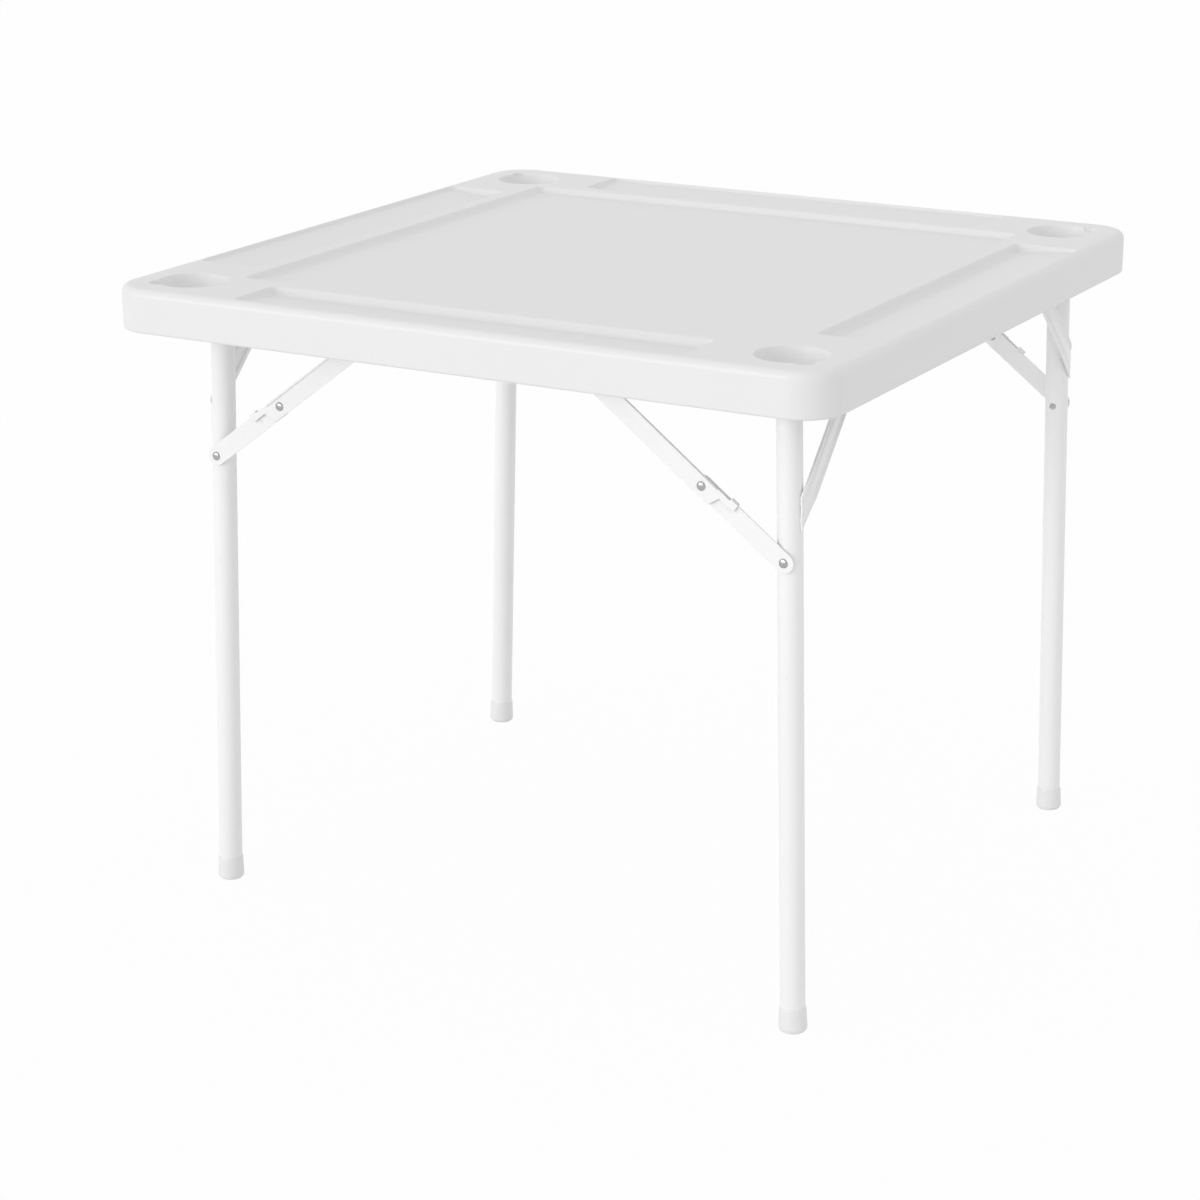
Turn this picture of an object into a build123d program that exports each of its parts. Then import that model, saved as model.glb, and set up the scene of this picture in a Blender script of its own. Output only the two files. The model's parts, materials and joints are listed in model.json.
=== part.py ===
from build123d import *
import os
from math import atan2, cos, degrees, hypot, radians, sin, sqrt

os.makedirs("parts", exist_ok=True)

# Table, in millimetres: the origin is on the floor under its middle, +X right, +Y back, +Z up
table_side = 880
table_height = 740
skirt_height = 50
panel_thickness = 24
rim_width = 20
corner_radius = 46
cavity_corner_radius = 26
top_edge_radius = 9
bottom_edge_radius = 3
side_count = 4
corner_angle = 45
overrun = 5

# Sunk playing field
field_inset = 109
field_depth = 7
field_corner_radius = 7
recess_wall_run = 5.5

# Chip trays along the four sides, their floors sloping down towards the field
tray_edge_inset = 9.5
tray_width = 79
tray_end_inset = 165
tray_depth = 9
tray_outer_depth = 3.5
tray_corner_radius = 7

# Cup holders in the corners, each with a small notch towards the corner
cup_inset = 70
cup_radius = 39
cup_depth = 19
cup_wall_run = 8
cup_floor_radius = 11
notch_radius = 11
notch_reach = 38
notch_depth = 4

# Kiss-offs: staggered pockets in the underside, where the two skins of the panel are pressed together
kiss_inset = 160
kiss_pitch = 70
kiss_row_pitch = 17.4
kiss_length = 23
kiss_width = 10
kiss_depth = 9
kiss_taper = 20
slot_inset = 107.5
slot_pitch = 64
slot_length = 25
slot_width = 10
slot_depth = 5
scallop_pitch = 51
scallop_length = 22
scallop_reach = 12
scallop_corner_radius = 5
scallop_end_inset = 60

# Rails under the panel
rail_overhang = 20
rail_width = 14
rail_height = 23
rail_wall = 1.5
rail_corner_radius = 2
rail_inset = 28.5
plug_depth = 12
plug_flange = 2
plug_clearance = 0.1

# Rail clips
clip_end_inset = 95
clip_length = 40
clip_wall = 3
clip_base = 3
clip_lip = 1
clip_foot = 14
clip_outer_foot = 10
clip_clearance = 0.2
screw_radius = 1.8
screw_depth = 9
screw_head_radius = 3.6
screw_head_height = 1.6

# Leg frames
splay = 1.5
pivot_inset = 70
wide_leg_inset = 66
narrow_leg_inset = 122.5
wide_pivot_drop = 18.5
narrow_pivot_drop = 16
leg_radius = 13
tube_wall = 1.3
crossbar_radius = 9.25
crossbar_end_gap = 0.5
leg_top_radius = 14
journal_radius = 5.5
journal_length = 9
running_clearance = 0.06

# Foot caps
foot_radius = 15.3
foot_top_radius = 14.4
foot_height = 28
foot_floor = 7
foot_trim = 0.4
foot_edge_chamfer = 1.8
foot_lip = 0.6
foot_lip_height = 3

# Gussets
gusset_arm = 116
gusset_width = 30
gusset_thickness = 1.8
gusset_stand_off = 1.2
gusset_sink = 0.6
gusset_end_margin = 4
gusset_pad_length = 30
gusset_joggle_run = 14
gusset_flange_height = 3.4
gusset_bead_width = 9
gusset_bead_height = 2.2

# Folding braces
brace_drop = 172
brace_reach = 220
anchor_drop = 2
link_width = 22
link_thickness = 2
link_flange_height = 2.4
link_flange_inset = 16
link_flange_tail = 15
leg_spacer_height = 1.5
leg_spacer_radius = 7
link_gap = 0.4
knee_tail = 17
knee_tail_slant = 6
knee_finger_reach = 43
knee_finger_width = 7
stop_tab_length = 10
stop_tab_thickness = 2
stop_gap = 0.3
dimple_reach = 37
dimple_radius = 2.6
dimple_height = 0.9
rivet_radius = 2.6
rivet_head_radius = 5.2
rivet_head_height = 1.7
rivet_tail_radius = 4.2
rivet_tail_height = 1
rivet_head_taper = 40
anchor_sleeve_radius = 5.5
strap_width = 38
strap_ear_width = 26

# Leg clip
leg_clip_gap = 29
leg_clip_length = 26
leg_clip_wall = 2.6
leg_clip_clearance = 0.4

# Levels and reaches that follow from the sizes above
half_side = table_side / 2
skirt_bottom = table_height - skirt_height
skin_height = table_height - panel_thickness
cavity_side = table_side - 2 * rim_width
rail_place = half_side - rail_inset
rail_inner = rail_place - rail_width / 2
rail_outer = rail_place + rail_width / 2
rail_top = skin_height - clip_base
rail_middle = rail_top - rail_height / 2
rail_bottom = rail_top - rail_height
pivot_place = half_side - pivot_inset
rail_length = 2 * (pivot_place + rail_overhang)
journal_bore_radius = journal_radius + running_clearance
link_hole_radius = rivet_radius + running_clearance
ends = {"front": -1, "back": 1}


def make_frame(side, leg_inset, pivot_drop):
    """Places and directions of one leg frame; side is 1 on the right and -1 on the left."""
    height = skin_height - pivot_drop
    lean = radians(splay)
    down = Vector(side * sin(lean), 0, -cos(lean))
    outward = Vector(side * cos(lean), 0, sin(lean))
    return {
        "side": side,
        "leg_place": half_side - leg_inset,
        "height": height,
        "down": down,
        "outward": outward,
        "origin": Vector(side * pivot_place, 0, height),
        "leg_reach": height / cos(lean),
    }


frames = {
    "right": make_frame(1, wide_leg_inset, wide_pivot_drop),
    "left": make_frame(-1, narrow_leg_inset, narrow_pivot_drop),
}


def spot(frame, along, across, out):
    """A point of a leg frame: along the legs from the pivot, across the table, out of the frame."""
    return frame["origin"] + frame["down"] * along + Vector(0, across, 0) + frame["outward"] * out


def inward_spot(frame, inward, across, drop):
    """A point under the tabletop: inward from the frame's pivot line, across, and below it."""
    return frame["origin"] + Vector(-frame["side"] * inward, across, -drop)


# The brace is straight when the table stands and folds flat along the leg, which fixes both links
lean_reach = brace_drop * sin(radians(splay))
brace_rise = brace_drop * cos(radians(splay)) - anchor_drop
brace_span = hypot(brace_reach + lean_reach, brace_rise)
folded_gap = hypot(brace_reach - brace_drop, anchor_drop)
lower_link = (brace_span**2 - folded_gap**2) / (2 * (brace_span + brace_reach - brace_drop))
upper_link = brace_span - lower_link

# Layers of a brace, measured outwards from the middle of its leg
lower_inner = leg_radius + leg_spacer_height
lower_outer = lower_inner + link_thickness
upper_inner = lower_outer + rivet_head_height + link_gap
upper_outer = upper_inner + link_thickness
boss_height = upper_inner - lower_outer - link_gap
boss_radius = rivet_head_radius + link_gap

fold_angle = 90 + splay
lower_ratio = (180 - degrees(atan2(brace_rise, brace_reach + lean_reach)) - 90 - splay) / fold_angle
upper_turn = degrees(atan2(brace_rise, brace_reach + lean_reach)) + degrees(
    atan2(anchor_drop, brace_reach - brace_drop + lower_link)
)
upper_ratio = -upper_turn / fold_angle


def save(part, name):
    part.label = name
    export_step(part, f"parts/{name}.step")


# Tabletop
field_side = table_side - 2 * field_inset
tray_length = table_side - 2 * tray_end_inset
tray_outer_edge = half_side - tray_edge_inset
tray_place = tray_outer_edge - tray_width / 2
tray_inner_foot = tray_outer_edge - tray_width + recess_wall_run
cup_place = hypot(half_side - cup_inset, half_side - cup_inset)
clip_pitch = rail_length / 2 - clip_end_inset
clip_places = [-clip_pitch, 0, clip_pitch]
anchor_place = pivot_place - brace_reach
clip_screw_place = rail_inner - clip_clearance - clip_wall - clip_foot / 2
strap_screw_place = half_side - (wide_leg_inset + narrow_leg_inset) / 2
notch_places = [*clip_places, anchor_place]
clip_screw_spots = [(place, end * clip_screw_place) for place in clip_places for end in ends.values()]
strap_screw_spots = [(-anchor_place, end * strap_screw_place) for end in ends.values()]


def spaced(count, pitch):
    """Places of a centred row."""
    return [pitch * (index - (count - 1) / 2) for index in range(count)]


kiss_side = table_side - 2 * kiss_inset
kiss_rows = spaced(int(kiss_side / kiss_row_pitch), kiss_row_pitch)
kiss_columns = spaced(int(kiss_side / kiss_pitch), kiss_pitch)
kiss_spots = [
    (column + (-1) ** index * kiss_pitch / 4, row)
    for index, row in enumerate(kiss_rows)
    for column in kiss_columns
]
slot_places = spaced(int(tray_length / slot_pitch), slot_pitch)
scallop_places = spaced(int((table_side - 2 * scallop_end_inset) / scallop_pitch), scallop_pitch)
notch_clearance = (clip_length + scallop_length) / 2 + bottom_edge_radius


def clear_of_notches(place):
    """Whether a scallop at this place keeps off the notches beside the rails."""
    return all(abs(abs(place) - abs(notch)) > notch_clearance for notch in notch_places)


free_scallop_places = [place for place in scallop_places if clear_of_notches(place)]

with BuildPart() as tabletop:
    with BuildSketch(Plane.XY.offset(skirt_bottom)):
        RectangleRounded(table_side, table_side, corner_radius)
    extrude(amount=skirt_height)
    fillet(tabletop.edges().group_by(Axis.Z)[-1], top_edge_radius)
    fillet(tabletop.edges().group_by(Axis.Z)[0], bottom_edge_radius)
    with BuildSketch(Plane.XY.offset(skirt_bottom)):
        RectangleRounded(cavity_side, cavity_side, cavity_corner_radius)
    extrude(amount=skirt_height - panel_thickness, mode=Mode.SUBTRACT)
    with BuildSketch(Plane.XY.offset(table_height)):
        RectangleRounded(field_side, field_side, field_corner_radius)
    extrude(
        amount=-field_depth,
        taper=degrees(atan2(recess_wall_run, field_depth)),
        mode=Mode.SUBTRACT,
    )
    with BuildSketch(Plane.XY.offset(table_height)):
        with PolarLocations(tray_place, side_count):
            RectangleRounded(tray_width, tray_length, tray_corner_radius)
    extrude(
        amount=-tray_depth,
        taper=degrees(atan2(recess_wall_run, tray_depth)),
        mode=Mode.SUBTRACT,
    )
    for outward in (Vector(1, 0, 0), Vector(0, 1, 0), Vector(-1, 0, 0), Vector(0, -1, 0)):
        along = Vector(0, 0, 1).cross(outward)
        with BuildSketch(Plane(origin=(0, 0, table_height), x_dir=outward, z_dir=along)):
            with BuildLine():
                Polyline(
                    (tray_outer_edge, tray_outer_depth),
                    (tray_inner_foot, tray_depth),
                    (tray_outer_edge, tray_depth),
                    close=True,
                )
            make_face()
        extrude(amount=tray_length / 2, both=True)
    with BuildSketch(Plane.XY.offset(table_height)):
        with PolarLocations(cup_place + notch_reach, side_count, start_angle=corner_angle):
            Circle(notch_radius)
    extrude(amount=-notch_depth, mode=Mode.SUBTRACT)
    with BuildSketch(Plane.XY.offset(table_height)):
        with PolarLocations(cup_place, side_count, start_angle=corner_angle):
            Circle(cup_radius)
    extrude(amount=-cup_depth, taper=degrees(atan2(cup_wall_run, cup_depth)), mode=Mode.SUBTRACT)
    cup_floors = tabletop.edges().filter_by(GeomType.CIRCLE).filter_by_position(
        Axis.Z, table_height - cup_depth, table_height - cup_depth
    )
    fillet(cup_floors, cup_floor_radius)
    notch_run = clip_outer_foot + 2 * clip_clearance
    notch_middle = rail_outer + notch_run / 2
    with BuildSketch(Plane.XY.offset(skirt_bottom - overrun)):
        for place in clip_places:
            with Locations((place, notch_middle), (place, -notch_middle)):
                Rectangle(clip_length + 2 * clip_clearance, notch_run)
        with Locations((anchor_place, notch_middle), (anchor_place, -notch_middle)):
            Rectangle(2 * rivet_head_radius + 2 * clip_wall, notch_run)
    extrude(amount=skin_height - skirt_bottom + overrun, mode=Mode.SUBTRACT)
    with BuildSketch(Plane.XY.offset(skirt_bottom - overrun)):
        for side in (-1, 1):
            place_in = side * (cavity_side / 2 + (scallop_reach - overrun) / 2)
            with Locations(*[(place_in, place) for place in scallop_places]):
                RectangleRounded(scallop_reach + overrun, scallop_length, scallop_corner_radius)
            with Locations(*[(place, place_in) for place in free_scallop_places]):
                RectangleRounded(scallop_length, scallop_reach + overrun, scallop_corner_radius)
    extrude(amount=skin_height - skirt_bottom + overrun, mode=Mode.SUBTRACT)
    with BuildSketch(Plane.XY.offset(skin_height)):
        with Locations(*kiss_spots):
            Rectangle(kiss_length, kiss_width)
    extrude(amount=kiss_depth, taper=kiss_taper, mode=Mode.SUBTRACT)
    with BuildSketch(Plane.XY.offset(skin_height)):
        for side in (-1, 1):
            with Locations(*[(side * (half_side - slot_inset), place) for place in slot_places]):
                Rectangle(slot_width, slot_length)
    extrude(amount=slot_depth, taper=kiss_taper, mode=Mode.SUBTRACT)
    with BuildSketch(Plane.XY.offset(skin_height)):
        with Locations(*clip_screw_spots, *strap_screw_spots):
            Circle(screw_radius)
    extrude(amount=screw_depth - clip_base, mode=Mode.SUBTRACT)

save(tabletop.part, "tabletop")


# Rails, rectangular tubes with bores for the crossbars and, on the right, for the anchor rivets
def make_rail(end):
    with BuildPart() as rail:
        with BuildSketch(Plane.YZ.offset(-rail_length / 2)):
            with Locations((end * rail_place, rail_middle)):
                RectangleRounded(rail_width, rail_height, rail_corner_radius)
                Rectangle(rail_width - 2 * rail_wall, rail_height - 2 * rail_wall, mode=Mode.SUBTRACT)
        extrude(amount=rail_length)
        for frame in frames.values():
            mouth = Vector(frame["origin"].X, end * rail_inner, frame["height"])
            with BuildSketch(Plane(origin=mouth, x_dir=(1, 0, 0), z_dir=(0, end, 0))):
                Circle(journal_bore_radius)
            extrude(amount=rail_width / 2, mode=Mode.SUBTRACT)
        anchor = inward_spot(frames["right"], brace_reach, end * rail_place, anchor_drop)
        with BuildSketch(Plane(origin=anchor, x_dir=(1, 0, 0), z_dir=(0, end, 0))):
            Circle(rivet_radius)
        extrude(amount=rail_width, both=True, mode=Mode.SUBTRACT)
    return rail.part


for end_name, end in ends.items():
    save(make_rail(end), f"{end_name}_rail")

with BuildPart() as rail_end_plugs:
    for side in (-1, 1):
        for end in ends.values():
            face = Plane(
                origin=(side * rail_length / 2, end * rail_place, rail_middle),
                x_dir=(0, 1, 0),
                z_dir=(side, 0, 0),
            )
            with BuildSketch(face):
                RectangleRounded(rail_width, rail_height, rail_corner_radius)
            extrude(amount=plug_flange)
            with BuildSketch(face):
                Rectangle(
                    rail_width - 2 * rail_wall - 2 * plug_clearance,
                    rail_height - 2 * rail_wall - 2 * plug_clearance,
                )
            extrude(amount=-plug_depth)

save(rail_end_plugs.part, "rail_end_plugs")


# Rail clips: a channel open downwards, with a lip under each edge of the rail
def make_rail_clip(place, end):
    inner_half = rail_width / 2 + clip_clearance
    with BuildPart() as clip:
        with BuildSketch(Plane.YZ.offset(place - clip_length / 2)):
            with BuildLine():
                Polyline(
                    (end * (rail_place - inner_half - clip_wall - clip_foot), skin_height),
                    (end * (rail_place + inner_half + clip_outer_foot), skin_height),
                    (end * (rail_place + inner_half + clip_outer_foot), rail_top),
                    (end * (rail_place + inner_half + clip_wall), rail_top),
                    (end * (rail_place + inner_half + clip_wall), rail_bottom - clip_wall),
                    (end * (rail_place + inner_half - clip_lip), rail_bottom - clip_clearance),
                    (end * (rail_place + inner_half), rail_bottom - clip_clearance),
                    (end * (rail_place + inner_half), rail_top),
                    (end * (rail_place - inner_half), rail_top),
                    (end * (rail_place - inner_half), rail_bottom - clip_clearance),
                    (end * (rail_place - inner_half + clip_lip), rail_bottom - clip_clearance),
                    (end * (rail_place - inner_half - clip_wall), rail_bottom - clip_wall),
                    (end * (rail_place - inner_half - clip_wall), rail_top),
                    (end * (rail_place - inner_half - clip_wall - clip_foot), rail_top),
                    close=True,
                )
            make_face()
        extrude(amount=clip_length)
        with BuildSketch(Plane.XY.offset(rail_top)):
            with Locations((place, end * clip_screw_place)):
                Circle(screw_radius)
        extrude(amount=clip_base, mode=Mode.SUBTRACT)
    return clip.part


clip_names = ["left", "middle", "right"]
for end_name, end in ends.items():
    for place_name, place in zip(clip_names, clip_places):
        save(make_rail_clip(place, end), f"{end_name}_{place_name}_rail_clip")


def make_screws(spots):
    """Pan-head screws driven up into the panel from below, in holes of their own size."""
    with BuildPart() as screws:
        with BuildSketch(Plane.XY.offset(rail_top)):
            with Locations(*spots):
                Circle(screw_radius)
        extrude(amount=screw_depth)
        with BuildSketch(Plane.XY.offset(rail_top)):
            with Locations(*spots):
                Circle(screw_head_radius)
        extrude(amount=-screw_head_height, taper=rivet_head_taper)
    return screws.part


save(make_screws(clip_screw_spots), "rail_clip_screws")
save(make_screws(strap_screw_spots), "anchor_strap_screws")


# Leg frames
def make_crossbar(frame):
    body_half = rail_inner - crossbar_end_gap
    tip = rail_inner + journal_length - crossbar_end_gap
    with BuildPart() as crossbar:
        for radius, half in ((crossbar_radius, body_half), (journal_radius, tip)):
            plane = Plane(origin=frame["origin"], x_dir=frame["down"], z_dir=(0, 1, 0))
            with BuildSketch(plane):
                Circle(radius)
            extrude(amount=half, both=True)
        with BuildSketch(plane):
            Circle(journal_radius - tube_wall)
        extrude(amount=tip, both=True, mode=Mode.SUBTRACT)
    return crossbar.part


def make_leg(frame, end):
    across = end * frame["leg_place"]
    leg_end = frame["leg_reach"] - foot_floor
    side_plane = Plane(origin=spot(frame, 0, across, 0), x_dir=frame["down"], z_dir=(0, 1, 0))
    with BuildPart() as leg:
        with BuildSketch(Plane(origin=spot(frame, -leg_top_radius, across, 0), z_dir=frame["down"])):
            Circle(leg_radius)
            Circle(leg_radius - tube_wall, mode=Mode.SUBTRACT)
        extrude(amount=leg_end + leg_top_radius)
        with BuildSketch(side_plane):
            Rectangle(
                leg_top_radius + overrun,
                2 * (leg_top_radius + overrun),
                align=(Align.MAX, Align.CENTER),
            )
            Circle(leg_top_radius, mode=Mode.SUBTRACT)
        extrude(amount=leg_radius + overrun, both=True, mode=Mode.SUBTRACT)
        with BuildSketch(side_plane):
            Circle(crossbar_radius)
            with Locations((brace_drop, 0)):
                Circle(rivet_radius)
        extrude(amount=leg_radius + overrun, both=True, mode=Mode.SUBTRACT)
    return leg.part


def make_foot(frame, end):
    """A cap turned about its leg's axis and cut level with the floor."""
    rim = spot(frame, frame["leg_reach"] - foot_height, end * frame["leg_place"], 0)
    section = Plane(origin=rim, x_dir=frame["outward"], z_dir=(0, frame["side"], 0))
    with BuildPart() as foot:
        with BuildSketch(section) as profile:
            with BuildLine():
                Polyline(
                    (0, foot_height - foot_floor),
                    (leg_radius, foot_height - foot_floor),
                    (leg_radius, 0),
                    (foot_top_radius + foot_lip, 0),
                    (foot_top_radius + foot_lip, foot_lip_height),
                    (foot_top_radius, foot_lip_height + foot_lip),
                    (foot_radius, foot_height + foot_trim),
                    (0, foot_height + foot_trim),
                    close=True,
                )
            make_face()
            chamfer(profile.vertices().group_by(Axis.Y)[-1].sort_by(Axis.X)[-1], foot_edge_chamfer)
        revolve(axis=Axis(rim, frame["down"]))
        split(bisect_by=Plane.XY, keep=Keep.TOP)
    return foot.part


def make_gusset(frame, end):
    """A pressed strip from the crossbar to the leg: flat ends, a joggle at each, bead and flanges."""
    across = end * (frame["leg_place"] - gusset_arm)
    corner = spot(frame, 0, across, 0)
    run = gusset_arm * sqrt(2)
    slope = (frame["down"] + Vector(0, end, 0)).normalized()
    pad_low = crossbar_radius - gusset_sink
    pad_high = leg_radius - gusset_sink
    body = leg_radius + gusset_stand_off
    profile_plane = Plane(origin=corner, x_dir=slope, z_dir=slope.cross(frame["outward"]))
    outward_sign = 1 if profile_plane.y_dir.dot(frame["outward"]) > 0 else -1
    with BuildPart() as gusset:
        low_end = gusset_pad_length - gusset_width / 2
        high_end = run - low_end
        inner = [
            (-gusset_pad_length, pad_low),
            (low_end, pad_low),
            (low_end + gusset_joggle_run, body),
            (high_end - gusset_joggle_run, body),
            (high_end, pad_high),
            (run + gusset_pad_length, pad_high),
        ]
        outer = [(place, height + gusset_thickness) for place, height in reversed(inner)]
        with BuildSketch(profile_plane):
            with BuildLine():
                Polyline(*[(x, outward_sign * y) for x, y in inner + outer], close=True)
            make_face()
        extrude(amount=gusset_width / 2, both=True)
        flange_plane = Plane(origin=corner, x_dir=slope, z_dir=frame["outward"]).offset(body)
        flange_start = low_end + gusset_joggle_run
        flange_length = high_end - gusset_joggle_run - flange_start
        edge = gusset_width / 2 - gusset_thickness / 2
        with BuildSketch(flange_plane):
            with Locations((run / 2, edge), (run / 2, -edge)):
                Rectangle(flange_length, gusset_thickness)
        extrude(amount=gusset_flange_height)
        with BuildSketch(flange_plane):
            with Locations((run / 2, 0)):
                SlotOverall(flange_length - gusset_joggle_run, gusset_bead_width)
        extrude(amount=gusset_thickness + gusset_bead_height)
        outline_plane = Plane(origin=corner, x_dir=frame["down"], z_dir=frame["outward"])
        across_sign = 1 if outline_plane.y_dir.Y * end > 0 else -1
        length = gusset_arm + gusset_width + gusset_end_margin
        with BuildSketch(outline_plane):
            with Locations((-gusset_end_margin, across_sign * (gusset_arm + gusset_end_margin))):
                Rectangle(
                    length + gusset_end_margin,
                    length + gusset_width + 2 * gusset_end_margin,
                    align=(Align.MIN, Align.MAX if across_sign > 0 else Align.MIN),
                )
        extrude(amount=body + gusset_flange_height + overrun, mode=Mode.INTERSECT)
        with BuildSketch(Plane(origin=corner, x_dir=frame["down"], z_dir=(0, 1, 0))):
            Circle(crossbar_radius)
        extrude(amount=gusset_arm + gusset_width, both=True, mode=Mode.SUBTRACT)
        leg_mark = spot(frame, 0, end * frame["leg_place"], 0)
        with BuildSketch(Plane(origin=leg_mark, z_dir=frame["down"])):
            Circle(leg_radius)
        extrude(amount=gusset_arm + gusset_width + overrun, mode=Mode.SUBTRACT)
    return gusset.part


def rivet_plane(point, end):
    """A plane square to a rivet's axis, facing away from the middle of the table."""
    return Plane(origin=point, x_dir=(1, 0, 0), z_dir=(0, end, 0))


def make_leg_rivets(frame):
    """A rivet through each leg, its head over the lower link."""
    with BuildPart() as rivets:
        for end in ends.values():
            start = spot(frame, brace_drop, end * (frame["leg_place"] - leg_radius), 0)
            plane = rivet_plane(start, end)
            shank = leg_radius + lower_outer
            with BuildSketch(plane):
                Circle(rivet_radius)
            extrude(amount=shank)
            with BuildSketch(plane):
                Circle(rivet_tail_radius)
            extrude(amount=-rivet_tail_height)
            with BuildSketch(plane.offset(shank)):
                Circle(rivet_head_radius)
            extrude(amount=rivet_head_height, taper=rivet_head_taper)
    return rivets.part


def make_leg_spacers(frame):
    with BuildPart() as spacers:
        for end in ends.values():
            middle = spot(frame, brace_drop, end * frame["leg_place"], 0)
            with BuildSketch(rivet_plane(middle, end)):
                Circle(leg_spacer_radius)
                Circle(rivet_radius, mode=Mode.SUBTRACT)
            extrude(amount=lower_inner)
            leg_top = spot(frame, 0, end * frame["leg_place"], 0)
            with BuildSketch(Plane(origin=leg_top, z_dir=frame["down"])):
                Circle(leg_radius)
            extrude(amount=brace_drop + leg_spacer_radius + overrun, mode=Mode.SUBTRACT)
    return spacers.part


for side_name, frame in frames.items():
    save(make_crossbar(frame), f"{side_name}_crossbar")
    save(make_leg_rivets(frame), f"{side_name}_leg_rivets")
    save(make_leg_spacers(frame), f"{side_name}_leg_spacers")
    for end_name, end in ends.items():
        save(make_leg(frame, end), f"{side_name}_{end_name}_leg")
        save(make_foot(frame, end), f"{side_name}_{end_name}_foot")
        save(make_gusset(frame, end), f"{side_name}_{end_name}_gusset")


# Folding braces
def brace_points(frame, end):
    """The leg rivet, the knee and the anchor of a brace, all in the middle plane of its leg."""
    across = end * frame["leg_place"]
    foot_end = spot(frame, brace_drop, across, 0)
    anchor = inward_spot(frame, brace_reach, across, anchor_drop)
    knee = foot_end + (anchor - foot_end).normalized() * lower_link
    return foot_end, knee, anchor


def link_plane(start, finish, end, layer):
    """A plane along a link, square to its rivets, in one layer of the brace."""
    return Plane(origin=start, x_dir=finish - start, z_dir=(0, end, 0)).offset(layer)


def make_lower_link(frame, end):
    foot_end, knee = brace_points(frame, end)[:2]
    plane = link_plane(foot_end, knee, end, lower_inner)
    with BuildPart() as link:
        with BuildSketch(plane):
            with Locations((lower_link / 2, 0)):
                SlotCenterToCenter(lower_link, link_width)
        extrude(amount=link_thickness)
        with BuildSketch(plane.offset(link_thickness)):
            with Locations((lower_link - dimple_reach, 0)):
                Circle(dimple_radius)
        extrude(amount=dimple_height, taper=rivet_head_taper)
        with BuildSketch(plane):
            Circle(link_hole_radius)
            with Locations((lower_link, 0)):
                Circle(rivet_radius)
        extrude(amount=link_thickness, mode=Mode.SUBTRACT)
    return link.part


def make_upper_link(frame, end):
    knee, anchor = brace_points(frame, end)[1:]
    plane = link_plane(anchor, knee, end, upper_inner)
    upside = 1 if plane.y_dir.Z > 0 else -1
    half = link_width / 2
    with BuildPart() as link:
        with BuildSketch(plane):
            with BuildLine():
                Polyline(
                    (0, upside * half),
                    (upper_link + knee_finger_reach, upside * half),
                    (upper_link + knee_finger_reach, upside * (half - knee_finger_width)),
                    (upper_link + knee_tail + knee_tail_slant, upside * (half - knee_finger_width)),
                    (upper_link + knee_tail, -upside * half),
                    (0, -upside * half),
                    close=True,
                )
            make_face()
            Circle(half)
        extrude(amount=link_thickness)
        with BuildSketch(plane.offset(link_thickness)):
            with Locations((link_flange_inset, upside * (half - link_thickness / 2))):
                Rectangle(
                    upper_link - link_flange_inset + link_flange_tail,
                    link_thickness,
                    align=(Align.MIN, Align.CENTER),
                )
        extrude(amount=link_flange_height)
        with BuildSketch(plane):
            with Locations((upper_link, 0)):
                Circle(boss_radius)
        extrude(amount=-boss_height)
        tab_start = upper_link + knee_finger_reach - stop_tab_length
        with BuildSketch(plane.offset(link_thickness)):
            with Locations((tab_start, upside * (half + stop_gap))):
                Rectangle(
                    stop_tab_length,
                    stop_tab_thickness,
                    align=(Align.MIN, Align.MIN if upside > 0 else Align.MAX),
                )
        extrude(amount=lower_inner - upper_outer)
        with BuildSketch(plane):
            with Locations((tab_start, upside * half)):
                Rectangle(
                    stop_tab_length,
                    stop_gap,
                    align=(Align.MIN, Align.MIN if upside > 0 else Align.MAX),
                )
        extrude(amount=link_thickness)
        with BuildSketch(plane.offset(-boss_height)):
            Circle(link_hole_radius)
            with Locations((upper_link, 0)):
                Circle(rivet_radius)
        extrude(amount=boss_height + link_thickness, mode=Mode.SUBTRACT)
    return link.part


def make_knee_head(frame, end):
    """The half of the knee rivet that the upper link carries."""
    plane = rivet_plane(brace_points(frame, end)[1], end)
    with BuildPart() as rivet:
        with BuildSketch(plane.offset(upper_inner - boss_height)):
            Circle(rivet_radius)
        extrude(amount=boss_height + link_thickness)
        with BuildSketch(plane.offset(upper_outer)):
            Circle(rivet_head_radius)
        extrude(amount=rivet_head_height, taper=rivet_head_taper)
    return rivet.part


def make_knee_tail(frame, end):
    """The half of the knee rivet that the lower link carries."""
    plane = rivet_plane(brace_points(frame, end)[1], end)
    with BuildPart() as rivet:
        with BuildSketch(plane.offset(lower_inner)):
            Circle(rivet_radius)
        extrude(amount=link_thickness)
        with BuildSketch(plane.offset(lower_inner)):
            Circle(rivet_tail_radius)
        extrude(amount=-rivet_tail_height)
    return rivet.part


for side_name, frame in frames.items():
    for end_name, end in ends.items():
        brace = f"{side_name}_{end_name}"
        save(make_lower_link(frame, end), f"{brace}_lower_link")
        save(make_upper_link(frame, end), f"{brace}_upper_link")
        save(make_knee_head(frame, end), f"{brace}_knee_rivet_head")
        save(make_knee_tail(frame, end), f"{brace}_knee_rivet_tail")


# Anchors of the right braces: rivets through the rails, with sleeves that stand the links off
right = frames["right"]
sleeve_start = right["leg_place"] + upper_outer + link_gap

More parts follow.
